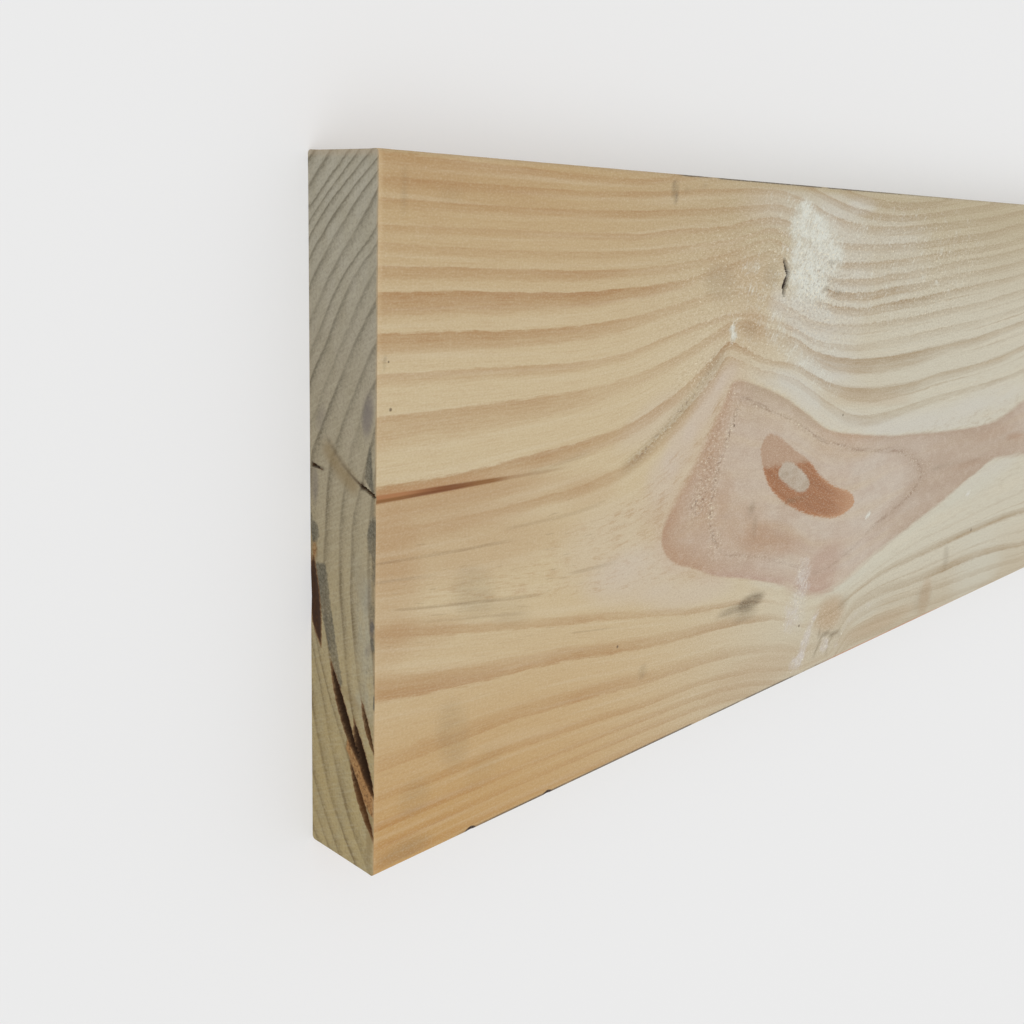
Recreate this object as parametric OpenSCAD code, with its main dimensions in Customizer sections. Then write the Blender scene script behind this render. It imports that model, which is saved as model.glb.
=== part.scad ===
// Sawn softwood plank, lying flat with its knot face up.
// X runs along the grain, Y across the width and Z through the thickness.
// The origin is the middle of the underside. The end at low X shows its open defects:
// resin pockets that lie along the growth rings, and a check that crosses them.

/* [Plank] */
// Length of the plank along the grain
plank_length = 2400; // [1200:100:6000]
// Width of the two wide faces
plank_width = 240; // [160:5:300]
// Thickness between the two wide faces
plank_thickness = 35; // [25:1:50]
// Radius of the four eased long edges
arris_radius = 1.5; // [0.5:0.25:4]

/* [Main resin pocket] */
// Length of the lobe nearer the heart of the thickness
inner_lobe_length = 36; // [15:1:50]
// Widest opening of that lobe
inner_lobe_gape = 4.4; // [1:0.2:8]
// Length of the lobe nearer the knot face
outer_lobe_length = 28; // [15:1:40]
// Widest opening of the lobe nearer the knot face
outer_lobe_gape = 4.8; // [1:0.2:8]
// Greatest depth of both lobes behind the sawn end
main_pocket_depth = 12; // [3:1:20]

/* [Small resin pockets] */
// Length of the thin pocket beside the main one
thin_pocket_length = 17; // [8:1:30]
// Widest opening of the thin pocket
thin_pocket_gape = 2; // [0.6:0.2:4]
// Length of the pocket nearest the lower edge
low_pocket_length = 28; // [10:1:40]
// Widest opening of the pocket nearest the lower edge
low_pocket_gape = 3.2; // [0.8:0.2:6]
// Length of the pocket that breaks out at the underside
back_pocket_length = 31; // [10:1:50]
// Widest opening of the pocket that breaks out at the underside
back_pocket_gape = 6; // [1:0.2:8]
// Greatest depth of the thin and low pockets behind the sawn end
small_pocket_depth = 7; // [2:1:15]
// Greatest depth of the pocket at the underside, which bark still fills almost to the sawn end
back_pocket_depth = 1.6; // [0.6:0.2:6]

/* [Checks] */
// Length of each open end of the check that crosses the sawn end
end_check_length = 13; // [6:1:20]
// Widest opening of the check in the sawn end
end_check_gape = 1.2; // [0.4:0.2:3]
// Greatest depth of the check behind the sawn end
end_check_depth = 6; // [2:1:12]
// Distance of the check in the knot face from the sawn end
face_check_from_end = 230; // [60:5:600]
// Length of the check in the knot face, across the grain
face_check_length = 15; // [6:1:30]
// Widest opening of the check in the knot face
face_check_gape = 1.8; // [0.6:0.2:4]
// Greatest depth of the check in the knot face
face_check_depth = 4; // [1:0.5:8]

/* [Nicks in the lower front edge] */
// Distance of the first nick from the sawn end
first_nick_from_end = 46; // [20:1:60]
// Distance of the second nick from the sawn end
second_nick_from_end = 88; // [70:1:300]
// Length of a nick along the edge
nick_length = 5; // [2:0.5:10]
// Bite of a nick into the knot face
nick_bite = 1.4; // [0.4:0.2:3]

/* [Hidden] */
$fn = 96;

// How far every cut runs out past the surface that it opens
cut_overrun = 2;
// The scooped floor of a pocket runs past the tips of its outline by this share of its length
scoop_reach_share = 1.2;
// A resin pocket bows away from the heart of the tree by this share of its gape
pocket_bow_share = 0.25;
// A check runs straight across the rings
check_bow_share = 0;
// The check beside the knot bows away from the sawn end by this share of its gape
face_check_bow_share = -0.3;

// Places in the sawn end: across the width from the lower edge, then up from the underside
inner_lobe_shares = [0.231, 0.546];
outer_lobe_shares = [0.174, 0.849];
thin_pocket_shares = [0.226, 0.9];
low_pocket_shares = [0.107, 0.822];
back_pocket_shares = [0.383, 0.097];
front_check_shares = [0.565, 0.886];
back_check_shares = [0.581, 0.03];
// Place of the face check across the width, from the lower edge
face_check_share = 0.835;

// How far each opening leans over from the thickness towards the upper edge, in degrees
inner_lobe_lean = 64;
outer_lobe_lean = 66;
thin_pocket_lean = 68;
low_pocket_lean = 62;
back_pocket_lean = 83;
front_check_lean = 20;
back_check_lean = 9;
face_check_lean = 6;

// Openings of the sawn end: place, length, gape, depth, lean and bow
end_openings = [
    [inner_lobe_shares, inner_lobe_length, inner_lobe_gape, main_pocket_depth,
        inner_lobe_lean, pocket_bow_share],
    [outer_lobe_shares, outer_lobe_length, outer_lobe_gape, main_pocket_depth,
        outer_lobe_lean, pocket_bow_share],
    [thin_pocket_shares, thin_pocket_length, thin_pocket_gape, small_pocket_depth,
        thin_pocket_lean, pocket_bow_share],
    [low_pocket_shares, low_pocket_length, low_pocket_gape, small_pocket_depth,
        low_pocket_lean, pocket_bow_share],
    [back_pocket_shares, back_pocket_length, back_pocket_gape, back_pocket_depth,
        back_pocket_lean, pocket_bow_share],
    [front_check_shares, end_check_length, end_check_gape, end_check_depth,
        front_check_lean, check_bow_share],
    [back_check_shares, end_check_length, end_check_gape, end_check_depth,
        back_check_lean, check_bow_share]
];
nick_places = [first_nick_from_end, second_nick_from_end];

// Radius of the arc that stands this high on a chord
function arc_radius(chord, rise) = (chord * chord / 4 + rise * rise) / (2 * rise);

// Section across the grain, its width along the first axis and its thickness along the second
module section() {
    translate([-plank_width / 2, arris_radius])
        square([plank_width, plank_thickness - 2 * arris_radius]);
    translate([-plank_width / 2 + arris_radius, 0])
        square([plank_width - 2 * arris_radius, plank_thickness]);
    for (side = [-1, 1], level = [arris_radius, plank_thickness - arris_radius])
        translate([side * (plank_width / 2 - arris_radius), level])
            circle(arris_radius);
}

// Pointed outline between two arcs on one chord, which lies along the second axis;
// the arc on the low side of the first axis stands higher by the bow
module lens(length, gape, bow_share) {
    low_rise = gape * (1 / 2 + bow_share);
    high_rise = gape * (1 / 2 - bow_share);
    intersection() {
        translate([arc_radius(length, low_rise) - low_rise, 0])
            circle(arc_radius(length, low_rise));
        translate([high_rise - arc_radius(length, high_rise), 0])
            circle(arc_radius(length, high_rise));
    }
}

// Lens-shaped opening that is deepest in its middle and runs out shallow at both tips;
// it is cut along +Z from the plane of its mouth
module opening(length, gape, depth, bow_share) {
    radius = arc_radius(length * scoop_reach_share, depth);
    intersection() {
        translate([0, 0, -cut_overrun])
            linear_extrude(depth + cut_overrun)
                lens(length, gape, bow_share);
        translate([0, 0, depth - radius])
            rotate([0, 90, 0])
                cylinder(h = 2 * gape, r = radius, center = true);
    }
}

// Pockets and check in the sawn end at low X
module end_defects() {
    for (row = end_openings)
        translate([
            -plank_length / 2,
            (row[0][0] - 1 / 2) * plank_width,
            row[0][1] * plank_thickness
        ])
            rotate([90, 0, 90])
                rotate([0, 0, row[4]])
                    opening(row[1], row[2], row[3], row[5]);
}

// Short check that opens across the grain of the knot face
module face_check() {
    translate([
        face_check_from_end - plank_length / 2,
        (face_check_share - 1 / 2) * plank_width,
        plank_thickness
    ])
        rotate([180, 0, face_check_lean])
            opening(face_check_length, face_check_gape, face_check_depth, face_check_bow_share);
}

// Round bites out of the edge between the knot face and the lower edge
module edge_nicks() {
    radius = arc_radius(nick_length, nick_bite);
    for (from_end = nick_places)
        translate([
            from_end - plank_length / 2,
            nick_bite - radius - plank_width / 2,
            plank_thickness
        ])
            sphere(radius);
}

module plank() {
    color("burlywood")
        difference() {
            translate([-plank_length / 2, 0, 0])
                rotate([90, 0, 90])
                    linear_extrude(plank_length)
                        section();
            end_defects();
            face_check();
            edge_nicks();
        }
}

plank();
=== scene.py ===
"""Sawn pine plank, lying flat with its knot face up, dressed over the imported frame."""

import math

import bpy
import numpy as np
from mathutils import Matrix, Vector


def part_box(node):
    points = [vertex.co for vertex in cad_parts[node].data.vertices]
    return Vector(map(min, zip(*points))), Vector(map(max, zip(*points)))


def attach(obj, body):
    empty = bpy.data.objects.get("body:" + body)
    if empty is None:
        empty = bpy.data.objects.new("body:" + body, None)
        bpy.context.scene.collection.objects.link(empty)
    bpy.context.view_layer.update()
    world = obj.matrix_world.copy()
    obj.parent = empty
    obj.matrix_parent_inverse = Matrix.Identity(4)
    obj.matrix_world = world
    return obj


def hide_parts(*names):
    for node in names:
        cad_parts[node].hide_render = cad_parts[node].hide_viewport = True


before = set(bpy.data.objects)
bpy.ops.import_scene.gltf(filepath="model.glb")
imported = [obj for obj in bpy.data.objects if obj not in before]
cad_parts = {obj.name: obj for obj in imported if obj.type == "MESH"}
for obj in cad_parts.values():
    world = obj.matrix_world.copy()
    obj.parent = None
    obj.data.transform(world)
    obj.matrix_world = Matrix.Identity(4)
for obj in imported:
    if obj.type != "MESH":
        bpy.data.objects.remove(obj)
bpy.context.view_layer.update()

# Sizes of the plank, in millimetres, read from the frame
MM = 1000.0
low_corner, high_corner = (np.array(c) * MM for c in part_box("plank"))
LENGTH, WIDTH, THICK = high_corner - low_corner
# Radius of the eased edges, and the gap between an end's grid and its outline
ARRIS, CAP_INSET = 1.5, 0.8
# Length whose rings are listed one by one, and the lengths past it over which rings, waves and late wood turn even
SHOWN = 560.0
RINGS_EASE, WAVES_EASE, LATE_EASE = 600.0, 120.0, 300.0
# Length that has marks, and the distance at which the distance fields are held
MARKED, HELD = 1100.0, 60.0
SEED = 35240
rng = np.random.default_rng(SEED)


# Small tools for curves and fields

def smooth(x, a, b):
    """Smooth step: 0 where x is before a, 1 after b, and 3t^2 - 2t^3 between them."""
    t = np.clip((x - a) / (b - a), 0.0, 1.0)
    return t * t * (3.0 - 2.0 * t)


def curve(x, xs, ys):
    """Cubic Hermite curve through the points; each slope is the harmonic mean of its two chords, or 0 at a turn."""
    xs, ys = np.asarray(xs, float), np.asarray(ys, float)
    h = np.diff(xs)
    d = np.diff(ys) / h
    m = np.zeros_like(ys)
    same = d[:-1] * d[1:] > 0
    m[1:-1][same] = 2 * d[:-1][same] * d[1:][same] / (d[:-1][same] + d[1:][same])
    m[0], m[-1] = d[0], d[-1]
    i = np.clip(np.searchsorted(xs, x, side="right") - 1, 0, len(h) - 1)
    t = np.clip((x - xs[i]) / h[i], 0.0, 1.0)
    a, b = ys[i], ys[i + 1]
    ma, mb = m[i] * h[i], m[i + 1] * h[i]
    return (a + t * ma + t**2 * (3 * (b - a) - 2 * ma - mb)
            + t**3 * (2 * (a - b) + ma + mb))


def rounded(points, each=6):
    """Closed Catmull-Rom curve through the given points, each span cut into equal shares of its parameter."""
    p = np.asarray(points, float)
    a, b, c, d = np.roll(p, 1, 0), p, np.roll(p, -1, 0), np.roll(p, -2, 0)
    t = (np.arange(each) / each)[None, :, None]
    a, b, c, d = (q[:, None, :] for q in (a, b, c, d))
    out = 0.5 * (2 * b + (c - a) * t + (2 * a - 5 * b + 4 * c - d) * t**2
                 + (3 * b - a - 3 * c + d) * t**3)
    return out.reshape(-1, 2)


def to_path(u, v, points):
    """Distance from each point to an open path, and how far along it the nearest place is, from 0 to 1."""
    p = np.asarray(points, float)
    a, b = p[:-1], p[1:]
    run = np.concatenate([[0.0], np.cumsum(np.linalg.norm(b - a, axis=1))])
    q = np.stack([u.ravel(), v.ravel()], 1)
    best = np.full(len(q), 1e9)
    along = np.zeros(len(q))
    for k in range(len(a)):
        e = b[k] - a[k]
        t = np.clip(((q - a[k]) @ e) / (e @ e), 0, 1)
        d = np.linalg.norm(q - a[k] - t[:, None] * e, axis=1)
        near = d < best
        best[near] = d[near]
        along[near] = (run[k] + t[near] * (run[k + 1] - run[k])) / run[-1]
    return best.reshape(u.shape), along.reshape(u.shape)


def inside(u, v, outline):
    """Signed distance to a closed outline, positive inside: nearest edge distance, signed by crossings of a ray."""
    p = np.asarray(outline, float)
    d, _ = to_path(u, v, np.vstack([p, p[:1]]))
    a, b = p, np.roll(p, -1, 0)
    odd = np.zeros(u.shape, bool)
    for k in range(len(a)):
        over = (a[k, 1] > v) != (b[k, 1] > v)
        rise = b[k, 1] - a[k, 1]
        if abs(rise) > 1e-9:
            odd ^= over & (u < (b[k, 0] - a[k, 0]) * (v - a[k, 1]) / rise + a[k, 0])
    return np.where(odd, d, -d)


def blots(u, v, rows):
    """Soft ovals: each row is a middle, two half sizes, a turn in degrees and an amount; the fields are added."""
    out = np.zeros(u.shape)
    for cu, cv, ru, rv, turn, amount in rows:
        a = math.radians(turn)
        du, dv = u - cu, v - cv
        p = (du * math.cos(a) + dv * math.sin(a)) / ru
        q = (dv * math.cos(a) - du * math.sin(a)) / rv
        out += amount * smooth(-(p * p + q * q), -1.0, 0.0)
    return out


def wander(shape, cells, seed):
    """Smooth seeded noise from -1 to 1: a small random grid, interpolated with smooth weights."""
    g = np.random.default_rng(seed).uniform(-1, 1, (cells[0] + 2, cells[1] + 2))
    x = np.linspace(0, cells[0], shape[0])
    y = np.linspace(0, cells[1], shape[1])
    i, j = np.minimum(x.astype(int), cells[0] - 1), np.minimum(y.astype(int), cells[1] - 1)
    s, t = smooth(x - i, 0, 1)[:, None], smooth(y - j, 0, 1)[None, :]
    a, b = g[np.ix_(i, j)], g[np.ix_(i + 1, j)]
    c, d = g[np.ix_(i, j + 1)], g[np.ix_(i + 1, j + 1)]
    return (a * (1 - s) + b * s) * (1 - t) + (c * (1 - s) + d * s) * t


# Growth rings of the knot face, in millimetres: distance from the sawn end, then height above the lower edge

STATIONS = [0, 30, 60, 90, 120, 150, 180, 190, 200, 215, 230, 245, 260, 280, 305, 330, 360, 400, 440, 480, 520, 560]
UPPER_RINGS = [
    [122, 122, 122.5, 123.5, 128, 140.5, 159.5, 168, 166, 161.5, 158.5, 155, 149, 140.5, 132, 130, 131.5, 134, 135.5,
     137.5, 141, 145],
    [137, 137, 138.5, 140.5, 144, 153, 168, 174, 171, 166, 163, 161, 156, 149.5, 145.3, 143.5, 143.5, 146.5, 148, 151,
     157, 162],
    [160, 160, 160.2, 160.8, 163.2, 169.5, 179, 182.5, 183, 180, 177, 173, 167, 163, 160.3, 159.5, 160.4, 162.5,
     164.8, 169, 173, 177],
    [173, 172.5, 171.7, 171, 173, 179, 184.3, 185.3, 185.5, 184, 180.5, 176.2, 171.8, 168.5, 167, 167.8, 169, 171.5,
     174, 177.5, 182, 186],
    [185.5, 185, 184, 184.3, 186.3, 190.5, 194.6, 195, 194.5, 192.5, 188.5, 184, 180, 177.8, 177, 177.8, 179.2, 182,
     184, 188, 192, 196],
    [198, 198, 197, 196.4, 197.6, 199.5, 205, 207, 209.3, 212, 207, 197, 190, 186.3, 185, 187, 188.7, 191.8, 195,
     198.5, 203.5, 208],
    [206, 205.5, 204.7, 204.1, 204.6, 206.5, 210.3, 212.3, 214.8, 217, 213.5, 204, 196.2, 193, 192.5, 194.4, 196, 200,
     202.5, 206, 211, 216],
    [213, 211.7, 210.9, 210.5, 211, 213, 215.5, 216.8, 218.8, 221, 219, 210, 202.7, 199.3, 199, 201, 202.7, 207,
     209.7, 213.5, 218.5, 223],
    [218, 217.7, 217.4, 217.1, 217, 219.5, 221, 222.7, 224.2, 225.7, 224, 217, 209.8, 206.9, 206.5, 207.7, 209.8, 213,
     215.5, 220, 225.5, 230],
    [226, 225.4, 225, 225, 225.6, 227, 228.5, 229.2, 230, 231, 229.7, 225, 219, 215.6, 215.2, 215.8, 217.2, 220.5,
     223.3, 228.7, 233.5, 238],
    [232, 231.7, 231.5, 231.5, 232.5, 234.2, 236, 236.4, 236.8, 237, 235.5, 232.8, 229, 225.5, 223.5, 224, 225.8,
     228.5, 231.5, 236, 240.5, 245],
    [238.5, 238.2, 237.8, 237, 236.8, 239.5, 242, 242.5, 242.8, 243, 241.5, 239, 236, 232.5, 230, 229.2, 231, 234.7,
     238.5, 243, 247, 251],
    [245, 244.5, 244, 243.5, 243, 245, 247.5, 248, 248, 248, 247, 245, 242.5, 238.5, 236.3, 235.4, 237, 241, 245, 249,
     253, 257],
]
LOWER_RINGS = [
    [88, 82, 76.5, 71, 66.5, 61, 55.5, 54.5, 53.5, 52, 49.5, 46, 41, 34, 34, 38, 44, 49.5, 52, 54.5, 56.5, 58],
    [65.5, 61.5, 58.5, 56, 51.5, 47.5, 45, 44.3, 43.5, 42, 40, 38, 33.5, 26, 28, 34, 39, 41, 42.5, 43.5, 44, 43],
    [39, 38.5, 38.5, 36.5, 34, 31, 29.5, 28.8, 28, 26.5, 24, 21, 17.5, 12, 11, 24, 26, 24.5, 24, 24, 22, 18],
    [28.5, 27, 26.5, 24.5, 22.5, 20, 19.5, 18.8, 18, 16, 14, 10.5, 7, 3, 3, 16.5, 19.5, 17.5, 14.5, 13, 11, 8],
    [17, 16.5, 16, 15.5, 14.5, 13.5, 12.5, 11.7, 11, 9.5, 7, 3.5, 0, -3, -3, 10.5, 10, 7.5, 4.5, 3, 1, -2],
    [10, 10, 10, 9.7, 9, 8.5, 7.5, 6.8, 6, 4, 1.5, -2, -6, -9, -9, 4, 3, 0, -3, -5, -7, -9],
    [2.5, 2.5, 2.5, 2.5, 2, 1.5, 0.5, 0, -1, -3, -5, -8, -12, -15, -15, -3, -4, -7, -10, -12, -14, -16],
]
# Late wood of each ring: places along the plank, then how dark it is and how many millimetres broad
UPPER_LATE = [
    [(0, 0.0, 3), (50, 0.15, 3), (100, 0.5, 5), (130, 0.6, 6), (150, 0.65, 7), (185, 0.7, 8), (205, 0.3, 4),
     (260, 0.35, 4), (300, 0.52, 7), (330, 0.52, 7), (370, 0.45, 5), (420, 0.4, 4), (475, 0.45, 4), (560, 0.3, 3)],
    [(0, 0.75, 10), (60, 0.78, 9), (105, 0.78, 8), (125, 0.6, 7), (160, 0.65, 6), (190, 0.75, 6), (215, 0.45, 4),
     (260, 0.65, 6), (300, 0.68, 9), (350, 0.66, 8), (400, 0.6, 6), (480, 0.6, 5), (560, 0.5, 4)],
    [(0, 0.62, 11), (90, 0.5, 9), (130, 0.4, 5), (180, 0.45, 4), (215, 0.5, 4), (260, 0.65, 6), (300, 0.8, 9),
     (370, 0.8, 9), (410, 0.65, 6), (480, 0.55, 5), (560, 0.5, 4)],
    [(0, 0.4, 4), (100, 0.45, 4), (180, 0.4, 3), (230, 0.35, 4), (290, 0.3, 4), (330, 0.15, 3), (400, 0.3, 4),
     (450, 0.2, 3), (560, 0.2, 3)],
    [(0, 0.8, 10), (100, 0.7, 8), (140, 0.4, 5), (165, 0.3, 4), (200, 0.3, 4), (260, 0.45, 4), (300, 0.45, 5),
     (330, 0.65, 5), (370, 0.6, 5), (410, 0.35, 4), (450, 0.3, 4), (560, 0.3, 3)],
    [(0, 0.9, 9), (80, 1.0, 7), (130, 0.9, 6), (150, 0.55, 5), (165, 0.3, 4), (230, 0.3, 3), (265, 0.75, 5),
     (290, 1.0, 6), (350, 1.0, 6), (375, 0.75, 5), (410, 0.6, 4), (475, 0.5, 4), (560, 0.4, 3)],
    [(0, 0.55, 5), (90, 0.6, 5), (130, 0.4, 4), (160, 0.25, 4), (210, 0.3, 3), (265, 0.8, 5), (300, 1.0, 6),
     (330, 0.85, 6), (370, 0.5, 4), (410, 0.35, 4), (450, 0.5, 4), (560, 0.4, 3)],
    [(0, 0.3, 2.5), (140, 0.35, 2.5), (190, 0.35, 3), (215, 0.45, 3), (270, 0.6, 4), (330, 0.5, 4), (420, 0.45, 4),
     (560, 0.35, 3)],
    [(0, 0.35, 3), (100, 0.4, 3), (200, 0.5, 3), (280, 0.65, 4), (400, 0.45, 4), (560, 0.35, 3)],
    [(0, 0.5, 3.5), (100, 0.55, 3.5), (200, 0.5, 3), (290, 0.55, 4), (400, 0.55, 5), (560, 0.4, 3)],
    [(0, 0.5, 4), (200, 0.45, 3), (300, 0.55, 5), (560, 0.4, 3)],
    [(0, 0.5, 4), (200, 0.45, 3), (300, 0.55, 5), (560, 0.4, 3)],
    [(0, 0.45, 4), (300, 0.55, 4), (560, 0.4, 3)],
]
LOWER_LATE = [
    [(0, 0.3, 4), (40, 0.6, 4), (70, 0.65, 4), (120, 0.5, 4), (230, 0.5, 3), (250, 0.2, 2), (300, 0.1, 2),
     (360, 0.15, 2), (560, 0.2, 2)],
    [(0, 0.6, 11), (60, 0.65, 9), (120, 0.66, 7), (200, 0.65, 7), (240, 0.5, 5), (270, 0.2, 3), (310, 0.45, 3),
     (340, 0.65, 4), (400, 0.75, 5), (480, 0.95, 6), (560, 0.7, 4)],
    [(0, 0.35, 5), (50, 0.6, 7), (145, 0.6, 6), (200, 0.45, 4), (250, 0.3, 4), (300, 0.2, 3), (330, 0.5, 4),
     (400, 0.5, 4), (440, 0.85, 5), (480, 0.9, 5), (560, 0.6, 4)],
    [(0, 0.4, 4), (150, 0.5, 4), (250, 0.4, 3), (330, 0.3, 4), (480, 0.35, 4), (560, 0.3, 4)],
    [(0, 0.75, 5), (45, 0.7, 5), (75, 0.3, 4), (200, 0.35, 4), (560, 0.35, 4)],
    [(0, 0.4, 3), (560, 0.35, 4)],
    [(0, 0.4, 3), (560, 0.4, 4)],
]
# The first ring and the spacing of the even rings, the ring inside the first, and the spacing past the last
FAR_UPPER, FAR_LOWER = (122.0, 9.6), (96.0, 12.5)
NEAR_RING_UP, NEAR_RING_LOW = 15.0, 12.0
BEYOND_SPACING = 7.5


def ring_lines(u, lines, far, way):
    """Height of each ring along the plank: the traced curve, easing past its end into even, slowly waving rings."""
    traced = np.array([curve(np.minimum(u, SHOWN), STATIONS, row) for row in lines])
    k = np.arange(len(lines))[:, None]
    ease = smooth(u, SHOWN, SHOWN + RINGS_EASE)[None, :]
    even = far[0] + way * far[1] * (k + 0.18 * np.sin(1.7 * k))
    wave = 5.0 * np.sin((u - SHOWN) / 240.0) + 1.6 * np.sin((u - SHOWN) / 83.0)
    drift = 0.35 * way * np.sin((u[None, :] - SHOWN) / 60.0 + 1.7 * k)
    past = smooth(u, SHOWN, SHOWN + WAVES_EASE)[None, :]
    return traced * (1 - ease) + even * ease + past * (wave[None, :] + drift)


def late_rows(u, rows):
    """Darkness and breadth of each ring's late wood along the plank: straight between the listed places, and past
    them easing into a dark that swings from ring to ring."""
    dark = np.array([np.interp(u, [r[0] for r in row], [r[1] for r in row]) for row in rows])
    broad = np.array([np.interp(u, [r[0] for r in row], [r[2] for r in row]) for row in rows])
    k = np.arange(len(rows))[:, None]
    far = smooth(u, SHOWN, SHOWN + LATE_EASE)[None, :]
    dark = dark + (0.62 + 0.22 * np.cos(2.3 * k) - dark) * far
    broad = broad + (4.4 + 1.2 * np.sin(1.9 * k) - broad) * far
    return dark, broad


def face_rings(u, v):
    """Ring number, grain height, late-wood darkness and late-wood share over a grid of the knot face.

    The ring number counts outwards from the heart and is straight between two ring lines; the grain height is
    the height at which the same flow line leaves the sawn end."""
    up, low = ring_lines(u, UPPER_RINGS, FAR_UPPER, 1), ring_lines(u, LOWER_RINGS, FAR_LOWER, -1)
    V = v[None, :]
    U0, L0 = up[0][:, None], low[0][:, None]
    middle = -np.minimum(np.clip((U0 - V) / NEAR_RING_UP, 0, 0.95), np.clip((V - L0) / NEAR_RING_LOW, 0, 0.95))
    rise = sum(np.clip((V - a[:, None]) / (b - a)[:, None], 0, 1) for a, b in zip(up[:-1], up[1:]))
    rise = rise + np.maximum(V - up[-1][:, None], 0) / BEYOND_SPACING
    fall = sum(np.clip((a[:, None] - V) / (a - b)[:, None], 0, 1) for a, b in zip(low[:-1], low[1:]))
    fall = fall + np.maximum(low[-1][:, None] - V, 0) / BEYOND_SPACING
    ring = np.where(V >= U0, rise, np.where(V <= L0, fall, middle))
    knots = np.concatenate([low[::-1], up])
    start = np.concatenate([np.array(LOWER_RINGS)[::-1, 0], np.array(UPPER_RINGS)[:, 0]])
    grain = start[0] + np.minimum(V - knots[0][:, None], 0)
    for a, b, sa, sb in zip(knots[:-1], knots[1:], start[:-1], start[1:]):
        grain = grain + (sb - sa) * np.clip((V - a[:, None]) / (b - a)[:, None], 0, 1)
    grain = grain + np.maximum(V - knots[-1][:, None], 0)
    dark, share = np.zeros_like(ring), np.zeros_like(ring)
    upper = V > (U0 + L0) / 2
    for lines, rows, side, first in ((up, UPPER_LATE, upper, NEAR_RING_UP), (low, LOWER_LATE, ~upper, NEAR_RING_LOW)):
        d, broad = late_rows(u, rows)
        gap = np.concatenate([np.full((1, len(u)), first), np.abs(np.diff(lines, axis=0))])
        part = np.clip(broad / gap, 0.08, 0.92)
        last = len(rows) - 1
        for k in range(last + 1):
            hat = np.clip(1 - np.abs(ring - k), 0, 1)
            if k == last:
                hat = np.where(ring > last, 1.0, hat)
            if k == 0:
                hat = np.where(ring < 0, 1.0, hat)
            dark = dark + np.where(side, hat * d[k][:, None], 0)
            share = share + np.where(side, hat * part[k][:, None], 0)
    return ring, grain, dark, share


# Growth rings of the sawn end: height above the underside of each ring, by height above the lower edge
END_STATIONS = [0, 20, 40, 60, 80, 100, 120, 140, 160, 180, 200, 220, 240]
END_RINGS = [
    [80, 70, 56, 46, 42, 40, 41, 46, 54, 64, 78, 94, 112],
    [70, 58, 46, 36.5, 33.8, 31.2, 31.5, 33.5, 42, 54, 68, 84, 102],
    [62, 50, 37.5, 28.7, 24.3, 22, 22.5, 28.5, 35.3, 46, 60, 76, 94],
    [54, 43, 31, 22, 18.5, 16.1, 16.2, 20, 27.5, 40, 54, 70, 88],
    [49, 40, 28.5, 15.5, 8.8, 6.9, 8.6, 11, 20, 32.5, 48, 62, 78],
    [42, 31, 20.3, 9.5, 2, -1, -1, 0.5, 10.5, 22.6, 37, 52, 67],
    [32.5, 19.2, 11.5, 5.2, -1, -6, -8, -6, 4.5, 16.5, 29.6, 47, 60],
    [25, 11.3, 3.9, -2, -9, -13, -15, -13, -4, 8.6, 21.3, 41, 54],
    [15.5, 3.2, -5, -10, -16, -20, -22, -19, -11, 2.7, 16.2, 36.2, 49],
    [9.5, -3, -12, -18, -24, -28, -29, -26, -18, -4, 9.7, 27.3, 45],
    [3, -10, -19, -26, -31, -35, -36, -33, -25, -11, 1.7, 19.4, 42],
    [-4, -17, -26, -33, -38, -42, -43, -40, -32, -18, -5, 12.7, 38],
    [-11, -24, -33, -40, -45, -49, -50, -47, -39, -25, -11, 6.5, 32],
    [-18, -31, -40, -47, -52, -56, -57, -54, -46, -31, -16, 2.3, 26],
    [-25, -38, -47, -54, -59, -63, -64, -61, -53, -37, -22, -2, 21.5],
    [-32, -45, -54, -61, -66, -70, -71, -68, -60, -44, -29, -9, 12],
    [-39, -52, -61, -68, -73, -77, -78, -75, -67, -51, -36, -16, 3],
    [-46, -59, -68, -75, -80, -84, -85, -82, -74, -58, -43, -23, -5],
]


def end_rings(y, z):
    """Ring number over the end: straight between the ring lines at each height, counted out from the heart."""
    flat = y.ravel()
    lines = [curve(flat, END_STATIONS, row).reshape(y.shape) for row in END_RINGS]
    return sum(np.clip((a - z) / (a - b), 0, 1) for a, b in zip(lines[:-1], lines[1:]))


# Openings of the sawn end, as the frame has them: middle across and up, length, gape, depth, lean and bow
OPENINGS = [
    (55.44, 19.11, 36, 4.4, 12, 64, 0.25),
    (41.76, 29.715, 28, 4.8, 12, 66, 0.25),
    (54.24, 31.5, 17, 2.0, 7, 68, 0.25),
    (25.68, 28.77, 28, 3.2, 7, 62, 0.25),
    (91.92, 3.395, 31, 6.0, 0.7, 83, 0.25),
    (135.6, 31.01, 13, 1.2, 6, 20, 0.0),
    (139.44, 1.05, 13, 1.2, 6, 9, 0.0),
]
# The scooped floor runs past the tips by this share of the length; narrower openings are checks
SCOOP, CHECK_GAPE = 1.2, 1.5


def arc_radius(chord, rise):
    """Radius of the arc that stands this high on a chord."""
    return (chord * chord / 4 + rise * rise) / (2 * rise)


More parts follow.
